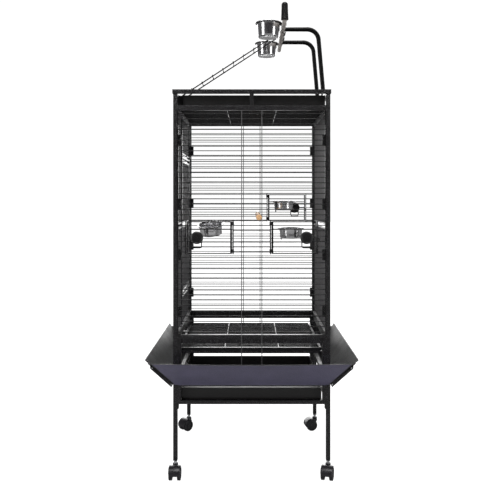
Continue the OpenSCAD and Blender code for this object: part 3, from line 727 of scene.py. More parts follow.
class GeometryTree:
    """A Geometry Nodes tree that ends in Realize Instances and Set Material."""

    def __init__(self, name: str) -> None:
        """Make an empty tree with a geometry input and output.

        Args:
            name: The tree's name.
        """
        self.tree = bpy.data.node_groups.new(name, "GeometryNodeTree")
        self.sockets: dict[str, str] = {}
        self.add_input("Geometry", "NodeSocketGeometry")
        self.tree.interface.new_socket("Geometry", in_out="OUTPUT", socket_type="NodeSocketGeometry")
        self.entry = self.tree.nodes.new("NodeGroupInput")

    def add_input(self, name: str, kind: str) -> None:
        """Add a named input.

        Args:
            name: The input's name.
            kind: The socket type.
        """
        self.sockets[name] = self.tree.interface.new_socket(name, in_out="INPUT", socket_type=kind).identifier

    def node(self, kind: str, settings: dict | None = None, inputs: dict | None = None) -> bpy.types.Node:
        """Add a node.

        Args:
            kind: The node's type name.
            settings: Properties set before the sockets.
            inputs: Socket name or number to a value or a socket.

        Returns:
            The new node.
        """
        made = self.tree.nodes.new(kind)
        for key, value in (settings or {}).items():
            setattr(made, key, value)
        for key, value in (inputs or {}).items():
            if isinstance(value, bpy.types.NodeSocket):
                self.tree.links.new(value, made.inputs[key])
            else:
                made.inputs[key].default_value = value
        return made

    def end(self, geometry: bpy.types.NodeSocket) -> None:
        """Realize, give the material and end the tree.

        Args:
            geometry: The socket with the instances.
        """
        real = self.node("GeometryNodeRealizeInstances", None, {"Geometry": geometry})
        painted = self.node(
            "GeometryNodeSetMaterial", None, {"Geometry": real.outputs[0], "Material": self.entry.outputs["Material"]}
        )
        self.node("NodeGroupOutput", None, {"Geometry": painted.outputs[0]})


class Scatter:
    """Puts copies of one small shape on points, each facing its own way."""

    def __init__(self, bench: Bench) -> None:
        """Build the tree once.

        Args:
            bench: The bench.
        """
        self.bench = bench
        tree = GeometryTree("copies_on_points")
        tree.add_input("Shape", "NodeSocketObject")
        tree.add_input("Material", "NodeSocketMaterial")
        shape = tree.node("GeometryNodeObjectInfo", None, {"Object": tree.entry.outputs["Shape"]})
        facing = tree.node("GeometryNodeInputNamedAttribute", {"data_type": "FLOAT_VECTOR"}, {"Name": "facing"})
        turn = tree.node("FunctionNodeAlignRotationToVector", {"axis": "Z"}, {"Vector": facing.outputs[0]})
        copies = tree.node(
            "GeometryNodeInstanceOnPoints", None,
            {"Points": tree.entry.outputs["Geometry"], "Instance": shape.outputs["Geometry"],
             "Rotation": turn.outputs[0]},
        )
        tree.end(copies.outputs[0])
        self.tree = tree

    def put(
        self, name: str, shape: bmesh.types.BMesh, spots: Sequence[tuple[Point, Point]], finish: Finish
    ) -> bpy.types.Object:
        """Copy a shape to every spot as one plain mesh.

        Args:
            name: The piece's name.
            shape: The shape, standing on its origin and facing +Z.
            spots: Pairs of place and facing, in metres.
            finish: The finish.

        Returns:
            The new object, on no body yet.
        """
        source = self.bench.piece(name + "_source", shape, finish)
        data = bpy.data.meshes.new(name + "_points")
        data.from_pydata([place for place, _ in spots], [], [])
        data.attributes.new("facing", "FLOAT_VECTOR", "POINT").data.foreach_set(
            "vector", [value for _, way in spots for value in way]
        )
        carrier = bpy.data.objects.new(name + "_carrier", data)
        bpy.context.scene.collection.objects.link(carrier)
        modifier = carrier.modifiers.new("copies", "NODES")
        modifier.node_group = self.tree.tree
        modifier[self.tree.sockets["Shape"]] = source
        modifier[self.tree.sockets["Material"]] = self.bench.palette.get(finish)
        graph = bpy.context.evaluated_depsgraph_get()
        result = bpy.data.meshes.new_from_object(carrier.evaluated_get(graph))
        result.name = name
        made = bpy.data.objects.new(name, result)
        bpy.context.scene.collection.objects.link(made)
        bpy.data.objects.remove(carrier)
        bpy.data.objects.remove(source)
        return made


# ---------------------------------------------------------------- studio


@dataclass
class Studio:
    """Camera, pale floor and soft light."""

    focal: float = 48.8
    sensor: float = 36.0
    place: Point = (0.0, -2.822, 1.046)
    pitch: float = 0.0
    shift_x: float = -0.0035
    shift_y: float = -0.1
    floor_half: float = 30.0
    floor_seen: float = 0.90
    floor_cast: float = 0.12
    room_seen: float = 1.05
    room_cast: float = 6.0
    soft_boxes: tuple[tuple[str, Point, tuple[float, float], float], ...] = (
        ("left_box", (-3.2, -2.2, 1.6), (0.9, 3.1), 54.0),
        ("right_box", (3.2, -2.2, 1.6), (0.9, 3.1), 40.0),
        ("front_top_box", (0.0, -2.2, 4.4), (2.4, 1.4), 95.0),
        ("top_box", (0.2, 0.6, 4.4), (2.6, 2.0), 40.0),
    )

    def build(self) -> None:
        """Make the camera, the floor and the lights."""
        self._camera()
        self._floor()
        self._world()
        for box in self.soft_boxes:
            self._area(*box)

    def _camera(self) -> None:
        """Place the camera."""
        data = bpy.data.cameras.new("camera")
        data.lens = self.focal
        data.sensor_width = self.sensor
        data.shift_x = self.shift_x
        data.shift_y = self.shift_y
        data.clip_end = 50.0
        made = bpy.data.objects.new("camera", data)
        made.location = self.place
        made.rotation_euler = (math.radians(90.0 - self.pitch), 0.0, 0.0)
        bpy.context.scene.collection.objects.link(made)
        bpy.context.scene.camera = made

    def _floor(self) -> None:
        """Lay a wide pale floor."""
        work = bmesh.new()
        bmesh.ops.create_grid(work, x_segments=1, y_segments=1, size=self.floor_half)
        data = bpy.data.meshes.new("floor")
        work.to_mesh(data)
        work.free()
        shader = Shader("pale_floor")
        seen = Sum(shader, shader.node("ShaderNodeLightPath").outputs["Is Camera Ray"])
        shader.set(
            Base_Color=shader.mix(shader.noise(0.8), (0.30, 0.30, 0.30), (0.34, 0.34, 0.34)),
            Roughness=0.9,
            Specular_IOR_Level=0.1,
            Emission_Color=(1.0, 1.0, 1.0),
            Emission_Strength=seen * self.floor_seen + self.floor_cast,
        )
        data.materials.append(shader.material)
        made = bpy.data.objects.new("floor", data)
        bpy.context.scene.collection.objects.link(made)

    def _world(self) -> None:
        """Light the room: white to the eye, softer and graded as a light."""
        world = bpy.data.worlds.new("studio")
        bpy.context.scene.world = world
        world.use_nodes = True
        nodes, links = world.node_tree.nodes, world.node_tree.links
        nodes.clear()
        seen = nodes.new("ShaderNodeBackground")
        seen.inputs["Color"].default_value = (1.0, 1.0, 1.0, 1.0)
        seen.inputs["Strength"].default_value = self.room_seen
        cast = nodes.new("ShaderNodeBackground")
        cast.inputs["Strength"].default_value = self.room_cast
        split = nodes.new("ShaderNodeSeparateXYZ")
        ramp = nodes.new("ShaderNodeValToRGB")
        where = nodes.new("ShaderNodeTexCoord")
        path = nodes.new("ShaderNodeLightPath")
        either = nodes.new("ShaderNodeMixShader")
        out = nodes.new("ShaderNodeOutputWorld")
        Shader.set_stops(
            ramp.color_ramp,
            ((0.0, (0.005, 0.0045, 0.005)), (0.5, (0.012, 0.012, 0.012)), (0.86, (0.035, 0.034, 0.036)),
             (0.95, (0.85, 0.85, 0.85)), (1.0, (1.0, 1.0, 1.0))),
        )
        links.new(where.outputs["Generated"], split.inputs[0])
        remap = nodes.new("ShaderNodeMapRange")
        remap.inputs["From Min"].default_value = -1.0
        links.new(split.outputs["Y"], remap.inputs["Value"])
        links.new(remap.outputs[0], ramp.inputs[0])
        links.new(ramp.outputs[0], cast.inputs["Color"])
        links.new(path.outputs["Is Camera Ray"], either.inputs[0])
        links.new(cast.outputs[0], either.inputs[1])
        links.new(seen.outputs[0], either.inputs[2])
        links.new(either.outputs[0], out.inputs[0])
        bpy.context.scene.view_settings.view_transform = "Standard"

    @staticmethod
    def _area(name: str, spot: Point, size: tuple[float, float], power: float) -> None:
        """Add a soft box that looks at the cage.

        Args:
            name: The light's name.
            spot: Where it stands.
            size: Its width and height.
            power: Its power in watts.
        """
        data = bpy.data.lights.new(name, "AREA")
        data.shape = "RECTANGLE"
        data.size, data.size_y = size
        data.energy = power
        made = bpy.data.objects.new(name, data)
        made.location = spot
        aim = Vector(LIT_SPOT) - Vector(spot)
        made.rotation_euler = aim.to_track_quat("-Z", "Y").to_euler()
        bpy.context.scene.collection.objects.link(made)


# ---------------------------------------------------------------- the cage


@dataclass
class WireWork:
    """Grilles, grate, doors and ladder: CAD shapes with wire finishes, some with the coat's thickness added."""

    bench: Bench
    nodes: tuple[str, ...] = (
        "grate", "ceiling_grille", "back_grille", "back_grille_middle",
        "feeder_door_left", "feeder_door_right", "feeder_door_back", "bowl_rings",
    )
    coated: tuple[tuple[str, float], ...] = (
        ("ladder", 0.8 * MM), ("front_grille", 0.2 * MM), ("front_grille_middle", 0.45 * MM),
    )

    def build(self) -> None:
        """Dress every wire part."""
        for node in self.nodes:
            self.bench.dress(node, Finish.WIRE)
        # the tie wires and the right grille get a much paler coat: painted highlight and painted light
        for node in ("tie_wires", "right_grille"):
            self.bench.dress(node, Finish.PAINTED_LIGHT_WIRE)
        # the left grille and the main door get a paler coat: painted sheen
        for node in ("left_grille_front", "left_grille_ends", "main_door"):
            self.bench.dress(node, Finish.MESH)
        for node, extra in self.coated:
            self.bench.fattened(node, Finish.WIRE, extra)


@dataclass
class Tubing:
    """Legs, posts, rails and pressed trays with eased edges."""

    bench: Bench
    tube_edge: float = 0.0013
    sheet_edge: float = 0.0004
    arm_coat: float = 0.0010
    tubes: tuple[str, ...] = (
        "leg_front_left", "leg_front_right", "leg_back_left", "leg_back_right",
        "post_front_left", "post_front_right", "post_back_left", "post_back_right",
        "base_front_rails", "base_back_rails", "ceiling_rails", "top_rails", "door_jambs",
    )
    sheets: tuple[str, ...] = ("tray", "roof_tray", "base_side_rails")

    def build(self) -> None:
        """Ease every tube and tray, and dress the rest of the frame."""
        for node in self.tubes:
            self.bench.eased(node, Finish.FRAME, self.tube_edge)
        for node in self.sheets:
            self.bench.eased(node, Finish.TRAY, self.sheet_edge, 1)
        for node in ("caster_sockets", "panel_clips"):
            self.bench.dress(node, Finish.FRAME)
        self.bench.fattened("perch_arms", Finish.ARM, self.arm_coat)


@dataclass
class SkirtPanel:
    """One seed guard panel: a sheet that sags a little, with a rolled hem round three edges."""

    bench: Bench
    node: str
    turn: float
    reach: float
    foot_half: float
    head_half: float
    out: float
    low: float
    high: float
    finish: Finish
    thickness: float = 1.4 * MM
    sag: float = 4.0 * MM
    hem: float = 1.5 * MM
    flange: float = 12.0 * MM
    columns: int = 48
    rows: int = 8

    def spot(self, across: float, up: float, lift: float = 0.0) -> Vector:
        """Return a point of the sheet's inner face.

        Args:
            across: -1 at the left end, 1 at the right end.
            up: 0 at the foot, 1 at the top edge.
            lift: Distance outwards from the face.

        Returns:
            The point, before the panel is turned round the cage.
        """
        half = self.foot_half + (self.head_half - self.foot_half) * up
        slope = Vector((0.0, -self.out, self.high - self.low)).normalized()
        outwards = Vector((0.0, -slope.z, slope.y))
        droop = self.sag * math.cos(across * math.pi / 2) * up * up
        flat = Vector((half * across, -self.reach - self.out * up, self.low + (self.high - self.low) * up))
        return flat + outwards * lift - Vector((0.0, 0.0, droop))

    def _sheet(self) -> bmesh.types.BMesh:
        """Return the sheet as a closed thin shell."""
        work = bmesh.new()
        sides = []
        for lift in (0.0, self.thickness):
            sides.append([
                [work.verts.new(self.spot(2.0 * i / self.columns - 1.0, j / self.rows, lift))
                 for i in range(self.columns + 1)]
                for j in range(self.rows + 1)
            ])
        inner, outer = sides
        for grid in sides:
            for j in range(self.rows):
                for i in range(self.columns):
                    work.faces.new((grid[j][i], grid[j][i + 1], grid[j + 1][i + 1], grid[j + 1][i]))
        for i in range(self.columns):
            for j in (0, self.rows):
                work.faces.new((inner[j][i], inner[j][i + 1], outer[j][i + 1], outer[j][i]))
        for j in range(self.rows):
            for i in (0, self.columns):
                work.faces.new((inner[j][i], inner[j + 1][i], outer[j + 1][i], outer[j][i]))
        return work

    def _flange(self) -> bmesh.types.BMesh:
        """Return the upright strip that is screwed to the rail."""
        work = bmesh.new()
        bmesh.ops.create_cube(work, size=1.0)
        size = (2 * self.foot_half - 24 * MM, self.thickness, self.flange + 2 * MM)
        place = Matrix.Translation((0.0, -self.reach - self.thickness / 2, self.low + self.flange / 2 - MM))
        return moved(work, place @ Matrix.Diagonal((*size, 1.0)))

    def build(self) -> None:
        """Make the panel and its hem."""
        about = Matrix.Rotation(math.radians(self.turn), 4, "Z")
        shell = moved(merged([self._sheet(), self._flange()]), about)
        made = self.bench.piece(self.node + "_sheet", shell, self.finish, 25.0)
        self.bench.fit(made, "cage", self.bench.slot_of[self.node], self.node)
        middle = self.thickness / 2
        edge = [self.spot(-1.0, 0.04 + 0.96 * k / 6, middle) for k in range(7)]
        edge += [self.spot(2.0 * i / self.columns - 1.0, 1.0, middle) for i in range(1, self.columns)]
        edge += [self.spot(1.0, 0.04 + 0.96 * k / 6, middle) for k in range(6, -1, -1)]
        hem = moved(sweep(edge, self.hem, 10), about)
        # the hem's paler coat is a painted highlight along the panel's edges
        made = self.bench.piece(self.node + "_hem", hem, Finish.HEM_PAINTED_HIGHLIGHT, 40.0)
        self.bench.fit(made, "cage", self.bench.slot_of[self.node])


@dataclass
class Skirt:
    """The four seed guard panels, their corner angles and screws."""

    bench: Bench
    scatter: Scatter
    half_w: float = 295.0 * MM
    half_d: float = 280.0 * MM
    low: float = 354.0 * MM
    gap: float = 0.2 * MM
    corner_inset: float = 6.0 * MM
    head_half: float = 360.0 * MM
    side_flare: float = 86.0 * MM
    fin: float = 14.0 * MM
    fin_thickness: float = 2.4 * MM
    foot_x: float = 2.9 * MM
    foot_y: float = 0.1 * MM
    proud: float = 1.1 * MM
    side_sag: float = 0.5 * MM
    screw_low: float = 14.0 * MM
    screw_high: float = 20.0 * MM

    def build(self) -> None:
        """Make the panels and the corner fittings."""
        front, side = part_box("skirt_front"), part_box("skirt_left")
        out_y = -front[0][1] - self.half_d - self.proud
        out_x = -side[0][0] - self.half_w - self.proud
        # the front panel gets a paler bluish coat as painted sheen; the back and side panels keep the black coat
        for node, turn in (("skirt_front", 0.0), ("skirt_back", 180.0)):
            SkirtPanel(
                self.bench, node, turn, self.half_d + self.gap, self.half_w - self.corner_inset, self.head_half,
                out_y, self.low, front[1][2], Finish.SKIRT_PAINTED_SHEEN if turn == 0.0 else Finish.SHEET,
            ).build()
        for node, turn in (("skirt_left", -90.0), ("skirt_right", 90.0)):
            SkirtPanel(
                self.bench, node, turn, self.half_w + self.gap, self.half_d, self.half_d + self.side_flare,
                out_x, self.low, side[1][2], Finish.SHEET, sag=self.side_sag,
            ).build()
        self.bench.dress("skirt_straps", Finish.FRAME)
        self._screws(front[1][2], side[1][2], out_y, out_x)

    def _screws(self, front_top: float, side_top: float, out_y: float, out_x: float) -> None:
        """Put domed screws on both faces of each corner angle, at its foot and its head.

        Args:
            front_top: Height of the front panel's top edge.
            side_top: Height of the side panels' top edge.
            out_y: How far the front panel stands out.
            out_x: How far the side panels stand out.
        """
        rise = front_top - self.low
        low = Vector((self.foot_x - self.half_w, -self.half_d - self.foot_y, self.low))
        part_x = rise / (side_top - self.low)
        run_x = (self.corner_inset - (self.head_half - self.half_w + self.corner_inset) - self.corner_inset
                 - out_x * part_x) / 2
        run_y = (-out_y - self.side_flare * part_x) / 2
        way = Vector((run_x, run_y, rise)).normalized()
        side = Vector((-way.y, way.x, 0.0)).normalized()
        down = way.cross(side)
        down = down if down.z < 0 else -down
        length = Vector((run_x, run_y, rise)).length
        spots = []
        for along in (self.screw_low, length - self.screw_high):
            at = low + way * along + down * (self.fin / 2 + MM)
            for turn, mirror_x, mirror_y in itertools.product((1.0, -1.0), repeat=3):
                place = at + side * turn * self.fin_thickness / 2
                spots.append((
                    (place.x * mirror_x, place.y * mirror_y, place.z),
                    (side.x * turn * mirror_x, side.y * turn * mirror_y, 0.0),
                ))
        made = self.scatter.put("angle_screws", Hardware.dome(3.6 * MM, 2.4 * MM), spots, Finish.ZINC)
        self.bench.fit(made, "cage", "skirt_black")


class Hardware:
    """Small turned shapes that are used in several places."""

    @staticmethod
    def dome(radius: float, height: float, steps: int = 20) -> bmesh.types.BMesh:
        """Return a pan head with a shallow dish in its middle.

        Args:
            radius: Radius of the head.
            height: Height of the head.
            steps: Steps round.

        Returns:
            The head, standing on Z = 0.
        """
        profile = [(0.0, -SUNK), (radius, -SUNK), (radius, 0.2 * height), (0.9 * radius, 0.6 * height),
                   (0.62 * radius, 0.9 * height), (0.34 * radius, height), (0.22 * radius, 0.7 * height),
                   (0.0, 0.66 * height)]
        return lathe(profile, steps)

    @staticmethod
    def acorn(radius: float, height: float, steps: int = 24) -> bmesh.types.BMesh:
        """Return a cap nut with a washer.

        Args:
            radius: Radius of the washer.
            height: Height over all.
            steps: Steps round.

        Returns:
            The nut, standing on Z = 0.
        """
        flat, shoulder = 0.72 * radius, 0.45 * height
        profile = [(0.0, -SUNK), (radius, -SUNK), (radius, 0.9 * MM), (flat, 0.9 * MM), (flat, shoulder)]
        for degrees in range(0, 90, 15):
            turn = math.radians(degrees)
            profile.append((0.6 * radius * math.cos(turn), shoulder + (height - shoulder) * math.sin(turn)))
        profile.append((0.0, height))
        return lathe(profile, steps)


@dataclass
class Bolts:
    """Screws inside the back base rail and at both ends of every post."""

    bench: Bench
    scatter: Scatter
    rail_up: float = 90.0 * MM
    rail_in: float = 21.9 * MM
    rail_insets: tuple[float, ...] = (12.0 * MM, 150.0 * MM)
    post_inset: float = 18.0 * MM

    def build(self) -> None:
        """Put every screw in its place."""
        front, back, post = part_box("base_front_rails"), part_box("base_back_rails"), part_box("post_front_right")
        near, far = (0.0, -1.0, 0.0), (0.0, 1.0, 0.0)
        rail_y, rail_z = back[0][1] + self.rail_in, front[0][2] + self.rail_up
        spots = [
            ((side * (front[1][0] - inset), rail_y, rail_z), near)
            for side in (-1.0, 1.0) for inset in self.rail_insets
        ]
        for side in (-1.0, 1.0):
            x = side * (post[0][0] + post[1][0]) / 2
            for z in (post[0][2] + self.post_inset, post[1][2] - self.post_inset):
                spots += [((x, post[0][1], z), near), ((x, -post[0][1], z), far)]
        made = self.scatter.put("frame_screws", Hardware.dome(3.2 * MM, 1.9 * MM), spots, Finish.WIRE)
        self.bench.fit(made, "cage", "frame_coat")


@dataclass
class Bowl:
    """Stainless bowl with a rolled rim, a slightly tapered wall, a rounded foot and a dished bottom."""

    bench: Bench
    node: str
    body: str
    joint: str
    rim_roll: float = 1.5 * MM
    wall: float = 0.8 * MM
    foot_inset: float = 7.0 * MM
    taper: float = 2.0 * MM

    def build(self) -> None:
        """Spin the bowl on its own axis and stand it where the CAD has it."""
        axis = Vector(self.bench.joint(self.joint)["axis"]).normalized()
        points = [v.co for v in self.bench.frame["nodes"][self.node].data.vertices]
        heights = [p.dot(axis) for p in points]
        turn = Vector((0.0, 0.0, 1.0)).rotation_difference(axis).to_matrix().to_4x4()
        height = max(heights) - min(heights)
        ring = [p for p, h in zip(points, heights) if h > max(heights) - 1e-5]
        middle = sum(ring, Vector()) / len(ring)
        rim = max((p - middle).length for p in ring)
        body = self._body_radius(points, heights, middle, axis)
        work = lathe(self._profile(rim, body, height), 96)
        moved(work, Matrix.Translation(middle - axis * height) @ turn)
        made = self.bench.piece(self.node + "_spun", work, Finish.STEEL, 40.0)
        self.bench.fit(made, self.body, "stainless", self.node)

    @staticmethod
    def _body_radius(points: Sequence[Vector], heights: Sequence[float], middle: Vector, axis: Vector) -> float:
        """Return the radius of the wall below the rim.

        Args:
            points: The CAD node's points.
            heights: Their heights along the axis.
            middle: Centre of the rim.
            axis: The bowl's axis.

        Returns:
            The radius.
        """
        top = max(heights)
        below = [p for p, h in zip(points, heights) if 3.0 * MM < top - h < 60.0 * MM]
        return max(((p - middle) - axis * (p - middle).dot(axis)).length for p in below)

    def _profile(self, rim: float, body: float, height: float) -> list[tuple[float, float]]:
        """Return the section from the middle of the bottom, out, up, over the rim and back down inside.

        Args:
            rim: Outer radius of the rim.
            body: Outer radius of the wall.
            height: Height of the bowl.

        Returns:
            (radius, height) points.
        """
        roll, wall = self.rim_roll, self.wall
        toe = body - self.taper
        foot = toe - self.foot_inset
        points = [(0.0, 1.4 * MM), (foot * 0.55, 1.2 * MM), (foot - 3 * MM, 0.4 * MM)]
        points += arc((foot, 6.5 * MM), 6.5 * MM, -90.0, -15.0, 7)
        points += [(toe - 0.5 * MM, 12 * MM), (body, height - 9 * MM)]
        points += [(body + 0.4 * MM, height - 5.5 * MM), (body + 2.2 * MM, height - 3.4 * MM)]
        points += [(rim - 2 * roll, height - 2.6 * MM)]
        points += arc((rim - roll, height - roll), roll, -115.0, 120.0, 11)
        points += [(body + 1.6 * MM, height - 1.4 * MM), (body - wall + 0.2 * MM, height - 3.6 * MM)]
        points += [(body - wall, height - 8 * MM), (toe - wall - 0.5 * MM, 12.4 * MM)]
        points += arc((foot, 6.5 * MM), 6.5 * MM - wall, -15.0, -90.0, 7)
        points += [(foot - 3 * MM, 0.4 * MM + wall), (foot * 0.55, 1.2 * MM + wall), (0.0, 1.4 * MM + wall)]
        return points


@dataclass
class Latch:
    """Round moulded knob with a bent wire loop and a hook that reaches behind the frame."""

    bench: Bench
    node: str
    body: str
    joint: str
    out: Vector
    along: Vector
    depth: float = 17.0 * MM
    wire: float = 2.0 * MM
    stout: float = 1.3
    reach: float = 47.0 * MM
    hook: float = 16.0 * MM
    loop: float = 38.0 * MM
    flutes: int = 30
    largest: float = 30.0 * MM
    usual: float = 24.0 * MM

    def build(self) -> None:
        """Make the knob and its wire."""
        low, high = (Vector(corner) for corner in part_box(self.node))
        pivot = Vector(self.bench.joint(self.joint)["pos_m"])
        up = Vector((0.0, 0.0, 1.0))
        far = max(low.dot(self.out), high.dot(self.out))
        origin = pivot + self.out * (far - self.depth - pivot.dot(self.out))
        above = high.z - pivot.z
        radius = above if above < self.largest else self.usual
        place = Matrix.Translation(origin) @ Matrix((
            (self.along.x, up.x, self.out.x, 0.0), (self.along.y, up.y, self.out.y, 0.0),
            (self.along.z, up.z, self.out.z, 0.0), (0.0, 0.0, 0.0, 1.0),
        ))
        made = self.bench.piece(self.node + "_knob", moved(self._knob(radius), place), Finish.KNOB, 40.0)
        self.bench.fit(made, self.body, "knob_plastic", self.node)
        made = self.bench.piece(self.node + "_wire", moved(self._wires(radius), place), Finish.WIRE, 60.0)
        self.bench.fit(made, self.body, "wire_coat")

    def _knob(self, radius: float) -> bmesh.types.BMesh:
        """Return the knob: a fluted rim, a shallow crown and a raised cross.

        Args:
            radius: Radius of the knob.

        Returns:
            The knob along +Z.
        """
        top = self.depth
        profile = [(0.0, 3.0 * MM), (radius - 2.5 * MM, 3.0 * MM), (radius - 0.8 * MM, 3.8 * MM), (radius, 5.5 * MM)]
        profile += [(radius, 11.5 * MM), (radius - 0.9 * MM, 14.0 * MM), (radius - 3.0 * MM, 16.0 * MM)]
        profile += [(radius - 5.6 * MM, 16.8 * MM), (radius - 6.6 * MM, 16.1 * MM), (radius - 8.0 * MM, 15.9 * MM)]
        profile += [(4.5 * MM, top - 0.9 * MM), (3.6 * MM, top - 0.1 * MM), (0.0, top)]
        work = lathe(profile, self.flutes * 4)
        for vert in work.verts:
            away = math.hypot(vert.co.x, vert.co.y)
            if away > radius - 1.0 * MM and 4.5 * MM < vert.co.z < 13.0 * MM:
                wave = 0.5 + 0.5 * math.cos(self.flutes * math.atan2(vert.co.y, vert.co.x))
                cut = 1.0 - 0.7 * MM * wave / away
                vert.co.x *= cut
                vert.co.y *= cut
        arms = []
        for turn in (0.0, math.pi / 2):
            bar = bmesh.new()
            bmesh.ops.create_cube(bar, size=1.0)
            size = Matrix.Diagonal((2 * radius - 16.5 * MM, 2.6 * MM, 1.5 * MM, 1.0))
            moved(bar, Matrix.Rotation(turn, 4, "Z") @ Matrix.Translation((0.0, 0.0, top - 1.2 * MM)) @ size)
            bmesh.ops.bevel(bar, geom=list(bar.edges), offset=0.4 * MM, segments=2, affect="EDGES")
            arms.append(bar)
        return merged([work, *arms])

    def _wires(self, radius: float) -> bmesh.types.BMesh:
        """Return the loop under the knob and the hook beside it.

        Args:
            radius: Radius of the knob.

        Returns:
            Both wires, behind the knob.
        """
        level, inside = 4.5 * MM, 8.0 * MM
        half, corner, bend = radius - 6.5 * MM, 7.0 * MM, 5.0 * MM
        down = [(-half, -inside), (-half, -self.loop + corner)]
        down += arc((-half + corner, -self.loop + corner), corner, 180.0, 270.0, 7)
        down += arc((half - corner, -self.loop + corner), corner, 270.0, 360.0, 7)
        down += [(half, -inside)]
        side = [(radius - inside, 0.0), (self.reach - bend, 0.0)]
        side += arc((self.reach - bend, -bend), bend, 90.0, 0.0, 7)
        side += [(self.reach, -self.hook)]
        return merged([
            sweep([Vector((x, z, level)) for x, z in line], wire)
            for line, wire in ((down, self.wire), (side, self.wire * self.stout))
        ])


@dataclass
class Caster:
    """Twin-wheel caster: rounded hood, ribbed wheels and a zinc collar on the stem."""

    bench: Bench
    corner: str
    wheel_r: float = 25.0 * MM
    wheel_w: float = 13.0 * MM
    gap: float = 19.0 * MM
    axle_r: float = 3.0 * MM
    shell: float = 3.0 * MM
    collar: float = 10.0 * MM
    ribs: int = 6

    def build(self) -> None:
        """Make the hood, the collar and the wheels."""
        swivel = self.bench.joint(f"caster_{self.corner}_swivel")["pos_m"]
        spin = Vector(self.bench.joint(f"wheels_{self.corner}_spin")["pos_m"])
        stem = Vector((swivel[0], swivel[1], 0.0))
        trail = Vector((spin.x, spin.y, 0.0)) - stem
        way = trail.normalized()
        place = Matrix((
            (way.y, way.x, 0.0, stem.x), (-way.x, way.y, 0.0, stem.y), (0.0, 0.0, 1.0, 0.0), (0.0, 0.0, 0.0, 1.0),
        ))
        axle = Vector((0.0, trail.length, spin.z))
        hood = merged([self._shell(axle), self._web(axle), self._neck()])
        made = self.bench.piece(f"caster_{self.corner}_hood", moved(hood, place), Finish.CASTER, 38.0)
        self.bench.fit(made, f"caster_{self.corner}", "caster_plastic", f"caster_hood_{self.corner}")
        ring = lathe([
            (0.0, 58 * MM), (8.4 * MM, 58 * MM), (8.4 * MM, 60.6 * MM), (6.4 * MM, 61.4 * MM), (6.4 * MM, 66.4 * MM),
            (5.8 * MM, 67.7 * MM), (0.0, 67.7 * MM),
        ], 48)
        made = self.bench.piece(f"caster_{self.corner}_collar", moved(ring, place), Finish.ZINC, 30.0)
        self.bench.fit(made, f"caster_{self.corner}", "caster_plastic")
        wheels = merged([self._wheel(1.0, axle), self._wheel(-1.0, axle), self._axle(axle)])
        made = self.bench.piece(f"caster_{self.corner}_wheels", moved(wheels, place), Finish.WHEEL, 34.0)
        self.bench.fit(made, f"wheels_{self.corner}", "wheel_plastic", f"caster_wheels_{self.corner}")

    def _shell(self, axle: Vector) -> bmesh.types.BMesh:
        """Return the hood over both wheels.

        Args:
            axle: The axle's middle.

        Returns:
            The hood, a bent channel with round shoulders.
        """
        half = self.gap / 2 + self.wheel_w + 0.4 * MM
        inner = self.wheel_r + 1.5 * MM
        outer = inner + self.shell
        round_ = 4.0 * MM
        across = [(-half, inner)]
        across += arc((-half + round_, outer - round_), round_, 180.0, 90.0, 6)
        across += arc((half - round_, outer - round_), round_, 90.0, 0.0, 6)
        across += [(half, inner), (half - 1.5 * MM, inner), (0.0, inner), (-half + 1.5 * MM, inner)]
        work = bmesh.new()
        rings = []
        steps = 30
        for i in range(steps + 1):
            angle = math.radians(-4.0 + 140.0 * i / steps)
            taper = 1.0 - 0.12 * max(0.0, 1.0 - i / 5.0) - 0.12 * max(0.0, 1.0 - (steps - i) / 5.0)
            rings.append([
                work.verts.new((x * taper, axle.y + r * math.cos(angle), axle.z + r * math.sin(angle)))
                for x, r in across
            ])
        count = len(across)
        for low, high in zip(rings, rings[1:]):
            for k in range(count):
                work.faces.new((low[k], low[(k + 1) % count], high[(k + 1) % count], high[k]))
        work.faces.new(rings[0])
        work.faces.new(list(reversed(rings[-1])))
        return work

    def _web(self, axle: Vector) -> bmesh.types.BMesh:
        """Return the rounded web between the wheels.

        Args:
            axle: The axle's middle.

        Returns:
            The web.
        """
        half = self.gap / 2 - 1.2 * MM
        outline = [
            (axle.y - 9 * MM, 15 * MM), (axle.y + 7 * MM, 15 * MM), (axle.y + 19 * MM, 26 * MM),
            (axle.y + 17 * MM, 42 * MM), (axle.y, 52 * MM),
            (-9 * MM, 57 * MM), (-9.5 * MM, 45 * MM), (-4 * MM, 31 * MM),
        ]
        work = bmesh.new()
        base = [work.verts.new((-half, y, z)) for y, z in outline]
        face = work.faces.new(base)
        grown = bmesh.ops.extrude_face_region(work, geom=[face])["geom"]
        far_side = [item for item in grown if isinstance(item, bmesh.types.BMVert)]
        bmesh.ops.translate(work, vec=(2 * half, 0.0, 0.0), verts=far_side)
        bmesh.ops.recalc_face_normals(work, faces=work.faces)
        bmesh.ops.bevel(work, geom=list(work.edges), offset=1.4 * MM, segments=3, profile=0.5, affect="EDGES",
                        clamp_overlap=True)
        return work

    def _neck(self) -> bmesh.types.BMesh:
        """Return the round neck under the collar."""
        profile = [(0.0, 42 * MM), (9.2 * MM, 42 * MM), (10.0 * MM, 46 * MM), (10.0 * MM, 54 * MM)]
        profile += arc((7.4 * MM, 55.4 * MM), 2.6 * MM, 0.0, 90.0, 6)
        profile += [(0.0, 58.0 * MM)]
        return lathe(profile, 56)

